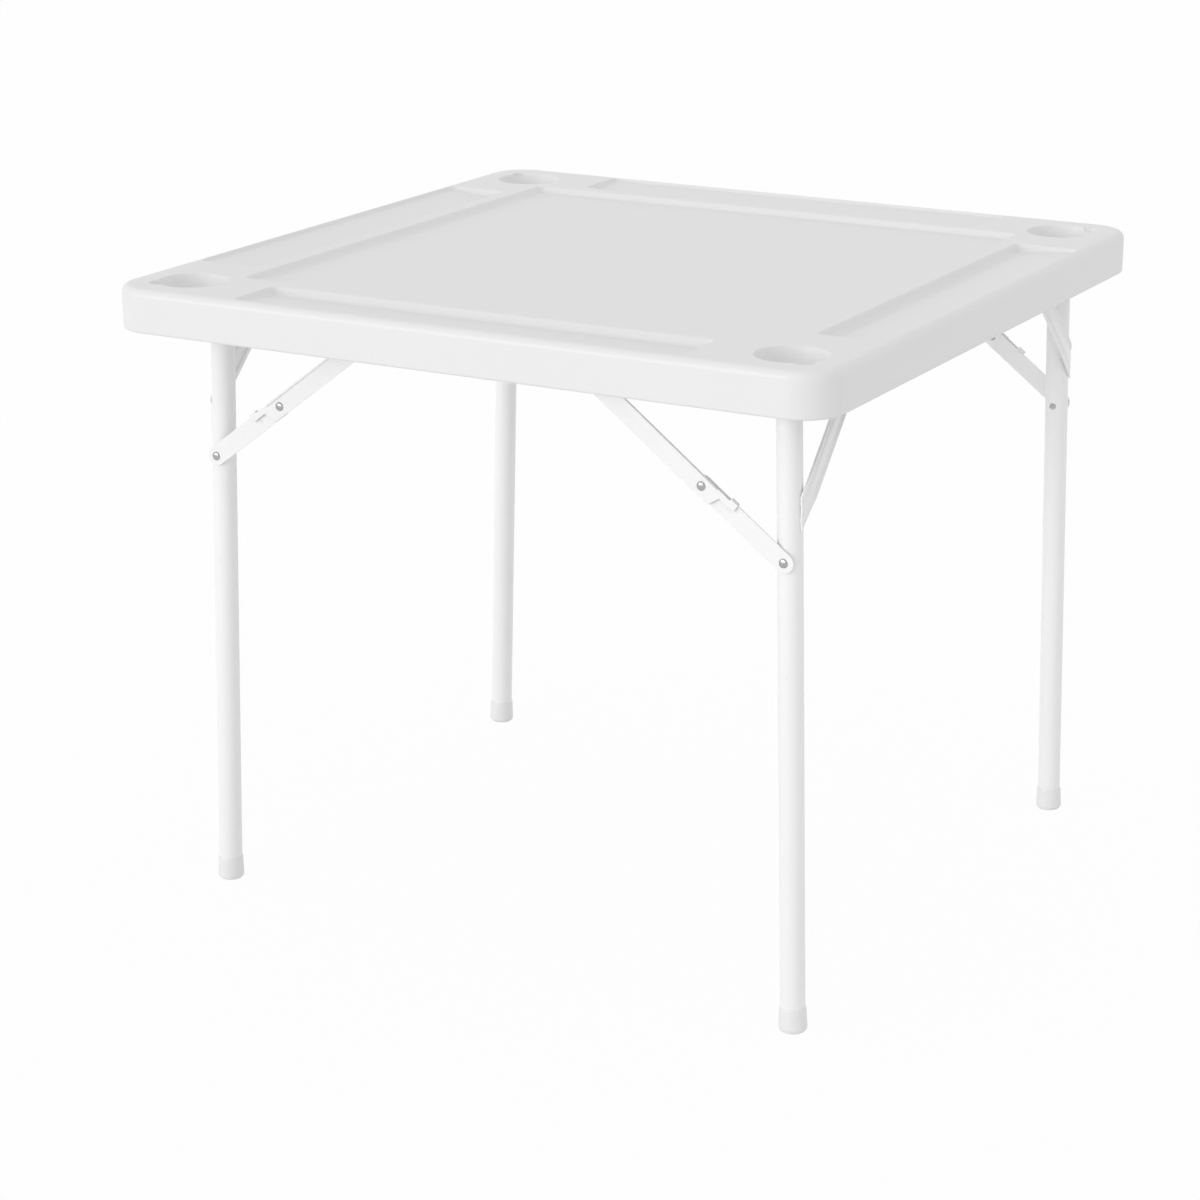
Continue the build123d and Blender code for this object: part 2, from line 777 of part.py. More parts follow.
with BuildPart() as right_anchor_rivets:
    for end in ends.values():
        axis_point = inward_spot(right, brace_reach, 0, anchor_drop)
        plane = rivet_plane(axis_point, end)
        head_start = right["leg_place"] + upper_inner
        with BuildSketch(plane.offset(head_start)):
            Circle(rivet_radius)
        extrude(amount=rail_outer - head_start)
        with BuildSketch(plane.offset(head_start)):
            Circle(rivet_head_radius)
        extrude(amount=-rivet_head_height, taper=rivet_head_taper)
        with BuildSketch(plane.offset(rail_outer)):
            Circle(rivet_head_radius)
        extrude(amount=rivet_head_height, taper=rivet_head_taper)

save(right_anchor_rivets.part, "right_anchor_rivets")

with BuildPart() as right_anchor_sleeves:
    for end in ends.values():
        plane = rivet_plane(inward_spot(right, brace_reach, 0, anchor_drop), end)
        with BuildSketch(plane.offset(sleeve_start)):
            Circle(anchor_sleeve_radius)
            Circle(rivet_radius, mode=Mode.SUBTRACT)
        extrude(amount=rail_inner - sleeve_start)

save(right_anchor_sleeves.part, "right_anchor_sleeves")

# Anchors of the left braces: straps held between rail and panel, each with an ear turned down
left = frames["left"]
ear_start = left["leg_place"] + upper_outer + link_gap


def make_anchor_strap(end):
    axis_point = inward_spot(left, brace_reach, 0, anchor_drop)
    with BuildPart() as strap:
        with BuildSketch(rivet_plane(axis_point, end).offset(ear_start)):
            Circle(strap_ear_width / 2)
        extrude(amount=clip_base)
        with BuildSketch(Plane.XY.offset(axis_point.Z)):
            with Locations((axis_point.X, end * ear_start)):
                Rectangle(
                    strap_ear_width,
                    clip_base,
                    align=(Align.CENTER, Align.MIN if end > 0 else Align.MAX),
                )
        extrude(amount=skin_height - axis_point.Z)
        with BuildSketch(Plane.XY.offset(rail_top)):
            with Locations((axis_point.X, end * ear_start)):
                Rectangle(
                    strap_width,
                    rail_outer - ear_start,
                    align=(Align.CENTER, Align.MIN if end > 0 else Align.MAX),
                )
        extrude(amount=clip_base)
        with BuildSketch(rivet_plane(axis_point, end).offset(ear_start)):
            Circle(rivet_radius)
        extrude(amount=clip_base, mode=Mode.SUBTRACT)
        with BuildSketch(Plane.XY.offset(rail_top)):
            with Locations((axis_point.X, end * strap_screw_place)):
                Circle(screw_radius)
        extrude(amount=clip_base, mode=Mode.SUBTRACT)
    return strap.part


for end_name, end in ends.items():
    save(make_anchor_strap(end), f"left_{end_name}_anchor_strap")

with BuildPart() as left_anchor_rivets:
    for end in ends.values():
        plane = rivet_plane(inward_spot(left, brace_reach, 0, anchor_drop), end)
        head_start = left["leg_place"] + upper_inner
        tail_start = ear_start + clip_base
        with BuildSketch(plane.offset(head_start)):
            Circle(rivet_radius)
        extrude(amount=tail_start - head_start)
        with BuildSketch(plane.offset(head_start)):
            Circle(rivet_head_radius)
        extrude(amount=-rivet_head_height, taper=rivet_head_taper)
        with BuildSketch(plane.offset(tail_start)):
            Circle(rivet_head_radius)
        extrude(amount=rivet_head_height, taper=rivet_head_taper)

save(left_anchor_rivets.part, "left_anchor_rivets")

# Leg clip: half a ring that takes a folded leg of the right frame
leg_clip_radius = leg_radius + leg_clip_clearance
leg_clip_place = -anchor_place + (strap_width + leg_clip_length) / 2 + leg_clip_gap

with BuildPart() as leg_clip:
    with BuildSketch(Plane.YZ.offset(leg_clip_place - leg_clip_length / 2)):
        with Locations((right["leg_place"], right["height"])):
            Rectangle(
                2 * leg_clip_radius + 2 * leg_clip_wall,
                wide_pivot_drop,
                align=(Align.CENTER, Align.MIN),
            )
            Circle(leg_clip_radius, mode=Mode.SUBTRACT)
    extrude(amount=leg_clip_length)

save(leg_clip.part, "leg_clip")

# Joint facts for the record
for name, frame in frames.items():
    foot_end, knee, anchor = brace_points(frame, 1)
    print(name, "pivot", frame["origin"], "leg rivet", foot_end, "knee", knee, "anchor", anchor)
print("links", lower_link, upper_link, "fold", fold_angle, "ratios", lower_ratio, upper_ratio)
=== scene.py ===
# %% [markdown]
# A folding card table, dressed for the camera.
#
# The construction model has already fixed every size: the panel, the two leg frames that fold in
# under it, and the braces that lock them. This notebook loads that model as a frame and gives each
# part its real surface. Where a solid is too plain to look moulded or pressed, a finer mesh takes
# its place, built at the same spot so that it folds with the same body.

# %% Load the frame
import json
from bisect import bisect_left
from math import atan2, cos, pi, radians, sin, sqrt, tan

import bmesh
import bpy
from mathutils import Matrix, Vector


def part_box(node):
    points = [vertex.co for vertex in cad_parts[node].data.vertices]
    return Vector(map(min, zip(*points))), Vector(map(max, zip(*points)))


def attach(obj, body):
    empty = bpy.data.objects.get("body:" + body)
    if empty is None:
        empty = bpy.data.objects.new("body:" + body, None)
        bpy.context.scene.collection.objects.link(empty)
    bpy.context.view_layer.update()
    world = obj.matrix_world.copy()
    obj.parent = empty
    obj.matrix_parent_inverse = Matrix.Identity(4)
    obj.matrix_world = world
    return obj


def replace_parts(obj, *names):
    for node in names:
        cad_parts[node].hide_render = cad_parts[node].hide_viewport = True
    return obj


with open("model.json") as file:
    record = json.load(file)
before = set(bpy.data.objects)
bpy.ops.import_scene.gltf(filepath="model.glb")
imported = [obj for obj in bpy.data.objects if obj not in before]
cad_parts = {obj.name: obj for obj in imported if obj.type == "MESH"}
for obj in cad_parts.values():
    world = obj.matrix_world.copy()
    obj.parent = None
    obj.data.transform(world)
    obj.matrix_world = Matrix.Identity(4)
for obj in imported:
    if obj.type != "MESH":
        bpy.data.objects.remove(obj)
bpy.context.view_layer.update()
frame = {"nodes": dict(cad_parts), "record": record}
nodes = frame["nodes"]

# %% [markdown]
# Sizes are in metres. The overall ones are read from the frame, so the surface follows the
# construction model; the small ones, such as an edge rounding, are written as millimetres times
# `mm`. Only the profiles of turned and pressed parts, further down, are plain millimetres, which
# the tools that read them convert.

# %% Sizes read from the frame
mm = 0.001
panel_low, panel_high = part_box("tabletop")
half = panel_high.x
top = panel_high.z
skirt_bottom = panel_low.z
clip_low, clip_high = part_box("front_middle_rail_clip")
skin = clip_high.z
print("half side:", half, "top:", top, "skirt:", skirt_bottom, "skin:", skin)

# %% [markdown]
# Most faces of a moulding are bands between two outlines: the edge rounding, the wall of a recess,
# the side of a pocket. So the basic tool is a *ring*, a closed list of points, and a *band* of
# quads between two rings with the same number of points. Flat areas with holes are filled at the
# end from their boundary rings. This keeps the mesh light and its curves smooth, where cutting
# shapes out with booleans would leave slivers.

# %% Rings, bands and fills
smallest_corner = 0.05 * mm


def rounded_ring(middle_x, middle_y, half_x, half_y, corner, steps=6):
    """A rectangle with round corners, anticlockwise, always with 4 * (steps + 1) points."""
    corner = max(corner, smallest_corner)
    points = []
    for quarter in range(4):
        sign_x = 1 if quarter in (0, 3) else -1
        sign_y = 1 if quarter in (0, 1) else -1
        for step in range(steps + 1):
            angle = (quarter + step / steps) * pi / 2
            x = middle_x + sign_x * (half_x - corner) + corner * cos(angle)
            y = middle_y + sign_y * (half_y - corner) + corner * sin(angle)
            points.append((x, y))
    return points


def place_ring(mesh, points, z):
    return [mesh.verts.new((x, y, z)) for x, y in points]


def band(mesh, first, second):
    """Faces between two rings of vertices; a ring of one vertex makes a tip."""
    count = max(len(first), len(second))
    for index in range(count):
        after = (index + 1) % count
        corners = [first[index % len(first)], first[after % len(first)]]
        corners += [second[after % len(second)], second[index % len(second)]]
        mesh.faces.new(dict.fromkeys(corners))


def ring_edges(mesh, ring):
    """The edges along a ring, made where the mesh has none yet."""
    edges = []
    for index, vertex in enumerate(ring):
        after = ring[(index + 1) % len(ring)]
        edges.append(mesh.edges.get((vertex, after)) or mesh.edges.new((vertex, after)))
    return edges


def fill(mesh, rings, up):
    """Fills the flat area between an outer ring and the rings of its holes."""
    edges = [edge for ring in rings for edge in ring_edges(mesh, ring)]
    made = bmesh.ops.triangle_fill(mesh, use_beauty=True, edges=edges, normal=(0, 0, up))
    return [piece for piece in made["geom"] if isinstance(piece, bmesh.types.BMFace)]


print("points of a ring:", len(rounded_ring(0, 0, half, half, 0)))

# %% [markdown]
# A moulding has no upright walls and no sharp edges. The wall of a recess leans, and it is rounded
# where it leaves the face and where it meets the floor. That shape is a short list of points, going
# inwards and down, and a recess is a rounded outline that shrinks along this list.

# %% Sloping walls and recesses


def wall_profile(run, depth, lip_radius, foot_radius, steps=5):
    """Points (inward, down) of a sloping wall, rounded where it leaves the face and at its foot."""
    slope = atan2(depth, run)
    lip = lip_radius * tan(slope / 2)
    foot = foot_radius * tan(slope / 2)
    points = []
    for step in range(steps + 1):
        turn = slope * step / steps
        points.append((-lip + lip_radius * sin(turn), lip_radius * (1 - cos(turn))))
    for step in range(steps + 1):
        turn = slope * (1 - step / steps)
        points.append((run + foot - foot_radius * sin(turn), depth - foot_radius * (1 - cos(turn))))
    return points


def recess(mesh, middle, half_size, corner, profile, level, down=-1, steps=6, share_at=None):
    """A sunk area with a rounded outline; gives back the ring where it meets the face around it.

    share_at says which share of the full depth the recess has at a spot, for floors that slope.
    """
    edge = rounded_ring(*middle, *half_size, corner, steps)
    shares = [share_at(*spot) if share_at else 1 for spot in edge]
    rings = []
    for inward, depth in profile:
        ring = []
        for index, share in enumerate(shares):
            run = inward * share
            outline = rounded_ring(*middle, half_size[0] - run, half_size[1] - run, corner - run, steps)
            x, y = outline[index]
            drop = depth * (share_at(x, y) if share_at else 1)
            ring.append(mesh.verts.new((x, y, level + down * drop)))
        rings.append(ring)
    for first, second in zip(rings, rings[1:]):
        band(mesh, first, second)
    mesh.faces.new(rings[-1])
    return rings[0]


print("points of a wall:", len(wall_profile(1, 1, 0, 0)))

# %% [markdown]
# A finished mesh becomes an object of the scene. Its doubled points are merged and its faces turned
# outwards. Then its modifiers are run and taken away, because the table folds by moving plain meshes.
# Weighted normals keep a large flat face flat to the light, right up to its rounded edge.

# %% From a mesh to an object
seam_gap = 0.005 * mm
smooth_angle = radians(32)


def add_object(name, data):
    """A new object of the scene, at the origin."""
    made = bpy.data.objects.new(name, data)
    bpy.context.scene.collection.objects.link(made)
    return made


def settle(made):
    """Turns an object's modifiers into plain mesh."""
    bpy.context.view_layer.update()
    evaluated = made.evaluated_get(bpy.context.evaluated_depsgraph_get())
    data = bpy.data.meshes.new_from_object(evaluated)
    data.name = made.name
    made.modifiers.clear()
    made.data = data
    return made


def even_shading(made):
    """Lets each vertex take the normal of its large faces, so that flat areas shade flat."""
    weigh = made.modifiers.new("even", "WEIGHTED_NORMAL")
    weigh.keep_sharp = True
    weigh.weight = 100
    return settle(made)


def to_object(mesh, name):
    """A mesh object whose faces point outwards, smooth except across real edges."""
    bmesh.ops.remove_doubles(mesh, verts=mesh.verts, dist=seam_gap)
    bmesh.ops.recalc_face_normals(mesh, faces=mesh.faces)
    data = bpy.data.meshes.new(name)
    mesh.to_mesh(data)
    mesh.free()
    data.shade_smooth()
    data.set_sharp_from_angle(angle=smooth_angle)
    return even_shading(add_object(name, data))


print("edges stay sharp from", smooth_angle, "radians")

# %% [markdown]
# ## The tabletop
#
# The real top is one hollow blow moulding. From above it shows a soft outer edge, a sunk playing
# field, a chip tray along each side and a cup holder in each corner. Its walls all slope, so that
# the part leaves the mould, and every edge is rounded by the plastic itself.

# %% Outer shell of the tabletop
corner_radius = 46 * mm
top_round = 9 * mm
bottom_round = 3 * mm
round_steps = 8
corner_steps = 20
panel = bmesh.new()

shell = []
for step in range(round_steps + 1):
    turn = pi / 2 * step / round_steps
    shell.append((top_round * (1 - sin(turn)), top - top_round * (1 - cos(turn))))
for step in range(round_steps // 2 + 1):
    turn = pi / 2 * step / (round_steps // 2)
    shell.append((bottom_round * (1 - cos(turn)), skirt_bottom + bottom_round * (1 - sin(turn))))
shell_rings = []
for inset, z in shell:
    outline = rounded_ring(0, 0, half - inset, half - inset, corner_radius - inset, corner_steps)
    shell_rings.append(place_ring(panel, outline, z))
for first, second in zip(shell_rings, shell_rings[1:]):
    band(panel, first, second)
print("outer shell rings:", len(shell_rings))

# %% [markdown]
# The field and the trays are the same form at different sizes: a rounded rectangle whose wall runs
# inwards as it goes down. One function makes all five. A tray is shallow at the table's edge and
# deep towards the field, so its depth is a share of the full one that grows across it.

# %% Playing field and chip trays
field_inset = 109 * mm
field_depth = 7 * mm
tray_edge_inset = 9.5 * mm
tray_width = 79 * mm
tray_end_inset = 165 * mm
tray_depth = 9 * mm
tray_outer_depth = 3.5 * mm
wall_run = 5.5 * mm
lip_round = 1.8 * mm
foot_round = 7 * mm
recess_corner = 9 * mm

field_profile = wall_profile(wall_run, field_depth, lip_round, foot_round)
tray_profile = wall_profile(wall_run, tray_depth, lip_round, foot_round)
face_rings = [recess(panel, (0, 0), (half - field_inset,) * 2, recess_corner, field_profile, top)]
tray_outer = half - tray_edge_inset
tray_place = tray_outer - tray_width / 2
tray_half = (tray_width / 2, half - tray_end_inset)


def tray_share(x, y):
    """The share of a tray's full depth at a spot of the tabletop."""
    across = (tray_outer - max(abs(x), abs(y))) / (tray_width - wall_run)
    return (tray_outer_depth + (tray_depth - tray_outer_depth) * min(max(across, 0), 1)) / tray_depth


for side in (-1, 1):
    trays = [((side * tray_place, 0), tray_half), ((0, side * tray_place), tray_half[::-1])]
    for middle, size in trays:
        ring = recess(panel, middle, size, recess_corner, tray_profile, top, share_at=tray_share)
        face_rings.append(ring)
print("field and trays:", len(face_rings))

# %% [markdown]
# A cup holder is a round bowl with a small ledge bitten out of its rim towards the corner. Two
# depths meet here, the bowl's and the ledge's, and the deeper one wins. The cup is worked out on
# rays from its middle, so this choice is a single line of code, and the ledge closes by itself
# where its circle runs into the bowl's.

# %% Cup holders
cup_inset = 70 * mm
cup_radius = 39 * mm
cup_depth = 19 * mm
cup_wall_run = 8 * mm
cup_lip_round = 1.5 * mm
cup_foot_round = 11 * mm
ledge_radius = 11 * mm
ledge_reach = 38 * mm
ledge_depth = 4 * mm
ledge_round = 0.8 * mm
flat_margin = 2 * mm
ray_count = 144

bowl = wall_profile(cup_wall_run, cup_depth, cup_lip_round, cup_foot_round, steps=7)
bowl_runs = [inward for inward, depth in bowl]


def bowl_depth(radius):
    """How deep the bowl is at a distance from its middle."""
    inward = cup_radius - radius
    if inward <= bowl_runs[0]:
        return 0
    if inward >= bowl_runs[-1]:
        return cup_depth
    after = bisect_left(bowl_runs, inward)
    (run, depth), (next_run, next_depth) = bowl[after - 1], bowl[after]
    return depth + (next_depth - depth) * (inward - run) / (next_run - run)


def ledge_edge(turn):
    """Where a ray leaves the ledge's circle; turn is measured from the corner's direction."""
    offset = ledge_reach * sin(turn)
    if abs(offset) >= ledge_radius or cos(turn) < 0:
        return 0
    return ledge_reach * cos(turn) + sqrt(ledge_radius**2 - offset**2)


def ease(share):
    """A share from 0 to 1 that starts and stops softly."""
    share = min(max(share, 0), 1)
    return share * share * (3 - 2 * share)


def ledge_drop(radius, edge):
    """How deep the ledge is at a distance from the cup's middle; its rim lies at edge."""
    return ledge_depth * ease((edge + ledge_round - radius) / (2 * ledge_round))


def cup_holder(mesh, side_x, side_y):
    """One cup holder with its ledge; gives back the ring where it meets the flat top."""
    middle = Vector((side_x * (half - cup_inset), side_y * (half - cup_inset)))
    corner_turn = atan2(side_y, side_x)
    outer_shares = [1, 0.5, 0, -0.5, -1]
    ring_count = len(outer_shares) + 2
    rings = [[] for index in range(ring_count + len(bowl))]
    for ray in range(ray_count):
        turn = 2 * pi * ray / ray_count
        edge = ledge_edge(turn - corner_turn)
        bowl_start = cup_radius - bowl_runs[0]
        radii = [edge + share * ledge_round for share in outer_shares]
        radii += [(radii[-1] + bowl_start) / 2, 0]
        spread = [flat_margin * (1 - index / ring_count) for index in range(ring_count)]
        radii = [max(radius, bowl_start + gap) for radius, gap in zip(radii, spread)]
        radii += [cup_radius - inward for inward in bowl_runs]
        for ring, radius in zip(rings, radii):
            depth = max(bowl_depth(radius), ledge_drop(radius, edge))
            spot = middle + radius * Vector((cos(turn), sin(turn)))
            ring.append(mesh.verts.new((spot.x, spot.y, top - depth)))
    for first, second in zip(rings, rings[1:]):
        band(mesh, first, second)
    mesh.faces.new(rings[-1])
    return rings[0]


for side_x in (-1, 1):
    for side_y in (-1, 1):
        face_rings.append(cup_holder(panel, side_x, side_y))
filled = fill(panel, [shell_rings[0], *face_rings], 1)
print("cup holders: 4, faces of the flat top:", len(filled))

# %% [markdown]
# ## The underside
#
# Inside the skirt, the wall is scalloped, and the flat skin is covered with kiss-offs: small
# staggered dents where the two skins are pressed together to stiffen the panel. The scallops and
# the notches for the rail clips are bites in one outline. The outline is drawn side by side with
# its bites, and used twice, where the wall starts and where it meets the skin.

# %% Skirt wall with its scallops and notches
skirt_wall = 20 * mm
cavity_half = half - skirt_wall
cavity_corner = 26 * mm
cavity_corner_steps = 8
scallop_pitch = 51 * mm
scallop_half = 11 * mm
scallop_reach = 12 * mm
scallop_round = 5 * mm
scallop_margin = 60 * mm
rail_outer = abs(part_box("front_rail")[0].y)
clip_half = (clip_high.x - clip_low.x) / 2
clip_gap = 0.2 * mm
clip_reach = 10 * mm
notch_reach = rail_outer + clip_reach + 2 * clip_gap - cavity_half
notch_corner = 0.5 * mm
anchor_half = 8.2 * mm


def middle_x(name):
    low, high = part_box(name)
    return (low.x + high.x) / 2


clip_places = [middle_x(f"front_{place}_rail_clip") for place in ("left", "middle", "right")]
anchor_x = middle_x("right_anchor_rivets")


def bite(place, half_length, reach, corner, steps=3):
    """Points (along, outwards) of a bite out of a side, with round inner corners."""
    points = [(place - half_length, 0)]
    for end in (-1, 1):
        for step in range(steps + 1):
            turn = pi / 2 * (step / steps if end < 0 else 1 - step / steps)
            along = place + end * (half_length - corner + corner * cos(turn))
            points.append((along, reach - corner + corner * sin(turn)))
    points.append((place + half_length, 0))
    return points


def spaced(count, pitch):
    """Places along a line, evenly spaced about its middle."""
    return [pitch * (index - (count - 1) / 2) for index in range(count)]


scallop_count = int((2 * half - 2 * scallop_margin) / scallop_pitch)
scallops = spaced(scallop_count, scallop_pitch)
taken = [abs(place) for place in (*clip_places, anchor_x)]
room = clip_half + scallop_half + bottom_round
free_scallops = [place for place in scallops if all(abs(abs(place) - spot) > room for spot in taken)]
cavity = []
for side in range(4):
    if side % 2 == 0:
        bites = [bite(place, scallop_half, scallop_reach, scallop_round) for place in scallops]
    else:
        anchor = anchor_x if side == 3 else -anchor_x
        bites = [bite(place, scallop_half, scallop_reach, scallop_round) for place in free_scallops]
        bites += [bite(place, clip_half + clip_gap, notch_reach, notch_corner) for place in clip_places]
        bites.append(bite(anchor, anchor_half, notch_reach, notch_corner))
    turn = Matrix.Rotation(side * pi / 2, 2)
    for points in sorted(bites):
        for along, outwards in points:
            cavity.append(turn @ Vector((cavity_half + outwards, along)))
    corner_middle = Vector((cavity_half - cavity_corner,) * 2)
    for step in range(cavity_corner_steps + 1):
        angle = pi / 2 * step / cavity_corner_steps
        cavity.append(turn @ (corner_middle + cavity_corner * Vector((cos(angle), sin(angle)))))
cavity = [(point.x, point.y) for point in cavity]
wall_foot = place_ring(panel, cavity, skirt_bottom)
wall_head = place_ring(panel, cavity, skin)
band(panel, wall_foot, wall_head)
fill(panel, [shell_rings[-1], wall_foot], -1)
print("points of the skirt's inner outline:", len(cavity), "free scallops:", len(free_scallops))

# %% [markdown]
# The kiss-offs repeat a few hundred times, so one tile with two of them is modelled, with only a
# few dozen faces, and Geometry Nodes lay the tiles out. Because each tile carries its piece of the
# flat skin with it, the tiles join edge to edge and the field drops into a rectangle that is left
# open in the skin.

# %% One kiss-off tile
kiss_pitch = 70 * mm
kiss_row_pitch = 17.4 * mm
kiss_half_length = 11.5 * mm
kiss_half_width = 5 * mm
kiss_end_flat = 0.2 * mm
kiss_dent = [(0, 0), (0.8 * mm, 1.2 * mm), (2 * mm, 2.4 * mm)]
pit_offset = 5.6 * mm
pit_mouth_radius = 2.6 * mm
pit_floor_radius = 1.4 * mm
pit_depth = 6.5 * mm
kiss_columns = 9
kiss_row_pairs = 20
tile_size = (kiss_pitch, 2 * kiss_row_pitch)


def circle(x, y, radius, steps=8):
    angles = [2 * pi * step / steps for step in range(steps)]
    return [(x + radius * cos(angle), y + radius * sin(angle)) for angle in angles]


def kiss_off(mesh, x, y):
    """An oblong dent with two round pits in its floor; gives back its outer ring."""
    rings = []
    for inward, depth in kiss_dent:
        length, width = kiss_half_length - inward, kiss_half_width - inward
        outline = rounded_ring(x, y, length, width, width - kiss_end_flat, steps=2)
        rings.append(place_ring(mesh, outline, depth))
    for first, second in zip(rings, rings[1:]):
        band(mesh, first, second)
    dent_depth = kiss_dent[-1][1]
    pits = []
    for side in (-1, 1):
        pit_x = x + side * pit_offset
        pits.append(place_ring(mesh, circle(pit_x, y, pit_mouth_radius), dent_depth))
        pit_floor = place_ring(mesh, circle(pit_x, y, pit_floor_radius), dent_depth + pit_depth)
        band(mesh, pits[-1], pit_floor)
        mesh.faces.new(pit_floor)
    fill(mesh, [rings[-1], *pits], -1)
    return rings[0]


tile = bmesh.new()
corner_x, corner_y = tile_size[0] / 2, tile_size[1] / 2
tile_corners = [(corner_x, corner_y), (-corner_x, corner_y), (-corner_x, -corner_y), (corner_x, -corner_y)]
tile_rings = [place_ring(tile, tile_corners, 0)]
for row in (-1, 1):
    tile_rings.append(kiss_off(tile, row * kiss_pitch / 4, row * kiss_row_pitch / 2))
fill(tile, tile_rings, -1)
tile_faces = len(tile.faces)
kiss_tile = to_object(tile, "kiss_off_tile")
print("faces of a tile with two kiss-offs:", tile_faces)

# %% [markdown]
# Geometry Nodes are built from the script with a few helpers: one makes an empty tree with named
# inputs, one adds a node, one links sockets, and one runs a tree on an object and keeps the result
# as plain mesh. A modifier knows its inputs by the identifiers that the sockets got, so the names
# are looked up first.

# %% Helpers for node trees


def node(tree, kind, **settings):
    made = tree.nodes.new(kind)
    for name, value in settings.items():
        setattr(made, name, value)
    return made


def wire(tree, *pairs):
    for start, finish in pairs:
        tree.links.new(start, finish)


def new_tree(name, inputs):
    """A Geometry Nodes tree with named inputs; gives back the tree, its input node and its output."""
    tree = bpy.data.node_groups.new(name, "GeometryNodeTree")
    tree.is_modifier = True
    for title, kind in inputs:
        tree.interface.new_socket(title, in_out="INPUT", socket_type=kind)
    tree.interface.new_socket("Geometry", in_out="OUTPUT", socket_type="NodeSocketGeometry")
    return tree, tree.nodes.new("NodeGroupInput"), tree.nodes.new("NodeGroupOutput")


def grow(tree, name, body, spots=(), **values):
    """Runs a tree on (place, axis) spots and keeps its result as a plain mesh object."""
    seed = bpy.data.meshes.new(name + "_seed")
    seed.from_pydata([place for place, axis in spots], [], [])
    axes = seed.attributes.new("axis", "FLOAT_VECTOR", "POINT")
    axes.data.foreach_set("vector", [number for place, axis in spots for number in axis])
    carrier = add_object(name, seed)
    modifier = carrier.modifiers.new("grow", "NODES")
    modifier.node_group = tree
    sockets = [item for item in tree.interface.items_tree if item.in_out == "INPUT"]
    identifiers = {socket.name: socket.identifier for socket in sockets}
    for title, value in values.items():
        modifier[identifiers[title]] = value
    settle(carrier)
    if body:
        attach(carrier, body)
    return carrier


print("helpers for node trees are ready")

# %% [markdown]
# The first tree makes a grid with one point per tile, puts the tile on each point, turns the copies
# into real mesh and welds their seams. A grid is as long as its gaps, of which there is one less
# than of its points, and that is what the two math nodes work out.

# %% Geometry Nodes that lay out a tile
weld_gap = 0.01 * mm
tree, given, result = new_tree(
    "lay_tiles",
    [
        ("Tile", "NodeSocketObject"),
        ("Columns", "NodeSocketInt"),
        ("Rows", "NodeSocketInt"),
        ("Width", "NodeSocketFloat"),
        ("Depth", "NodeSocketFloat"),
        ("Height", "NodeSocketFloat"),
        ("Material", "NodeSocketMaterial"),
    ],
)
grid = node(tree, "GeometryNodeMeshGrid")
move = node(tree, "GeometryNodeTransform")
height = node(tree, "ShaderNodeCombineXYZ")
source = node(tree, "GeometryNodeObjectInfo")
copies = node(tree, "GeometryNodeInstanceOnPoints")
real = node(tree, "GeometryNodeRealizeInstances")
weld = node(tree, "GeometryNodeMergeByDistance")
paint = node(tree, "GeometryNodeSetMaterial")
weld.inputs["Distance"].default_value = weld_gap
spans = []
for title, count in (("Width", "Columns"), ("Depth", "Rows")):
    one_less = node(tree, "ShaderNodeMath", operation="SUBTRACT")
    one_less.inputs[1].default_value = 1
    span = node(tree, "ShaderNodeMath", operation="MULTIPLY")
    wire(tree, (given.outputs[count], one_less.inputs[0]), (one_less.outputs[0], span.inputs[0]))
    wire(tree, (given.outputs[title], span.inputs[1]))
    spans.append(span)
wire(
    tree,
    (spans[0].outputs[0], grid.inputs["Size X"]),
    (spans[1].outputs[0], grid.inputs["Size Y"]),
    (given.outputs["Columns"], grid.inputs["Vertices X"]),
    (given.outputs["Rows"], grid.inputs["Vertices Y"]),
    (given.outputs["Height"], height.inputs["Z"]),
    (grid.outputs["Mesh"], move.inputs["Geometry"]),
    (height.outputs["Vector"], move.inputs["Translation"]),
    (given.outputs["Tile"], source.inputs["Object"]),
    (move.outputs["Geometry"], copies.inputs["Points"]),
    (source.outputs["Geometry"], copies.inputs["Instance"]),
    (copies.outputs["Instances"], real.inputs["Geometry"]),
    (real.outputs["Geometry"], weld.inputs["Geometry"]),
    (weld.outputs["Geometry"], paint.inputs["Geometry"]),
    (given.outputs["Material"], paint.inputs["Material"]),
    (paint.outputs["Geometry"], result.inputs["Geometry"]),
)
kiss_field = grow(
    tree,
    "kiss_off_field",
    None,
    Tile=kiss_tile,
    Columns=kiss_columns,
    Rows=kiss_row_pairs,
    Width=tile_size[0],
    Depth=tile_size[1],
    Height=skin,
)
print("kiss-off field:", len(kiss_field.data.polygons), "faces")
bpy.data.objects.remove(kiss_tile)

# %% [markdown]
# Round the field, the skin has a few more pockets: near the left and right rims, a column of long
# slots, one of round pits and one of narrow slots between the scallops. They all use the recess
# tool from the top face, turned upwards.

# %% Pockets round the kiss-off field
pocket_profile = wall_profile(run=1.8 * mm, depth=5 * mm, lip_radius=0.6 * mm, foot_radius=1 * mm, steps=2)
pocket_columns = [
    # inset from the edge, half width, half length, corner, pitch, count
    (107.5 * mm, 5 * mm, 12.5 * mm, 4 * mm, 64 * mm, 8),
    (54 * mm, 3 * mm, 3 * mm, 2.9 * mm, 35 * mm, 20),
    (27 * mm, 2.6 * mm, 9 * mm, 2.4 * mm, scallop_pitch, scallop_count - 1),
]
skin_rings = []
for inset, half_width, half_length, corner, pitch, count in pocket_columns:
    for side in (-1, 1):
        for place in spaced(count, pitch):
            spot = (side * (half - inset), place)
            size = (half_width, half_length)
            skin_rings.append(recess(panel, spot, size, corner, pocket_profile, skin, down=1, steps=3))
print("pockets:", len(skin_rings))

# %% [markdown]
# The rectangle that the kiss-off field drops into has a point wherever two tiles meet at its edge.
# The points match those of the tiles, so the two meshes weld into one skin without a gap.

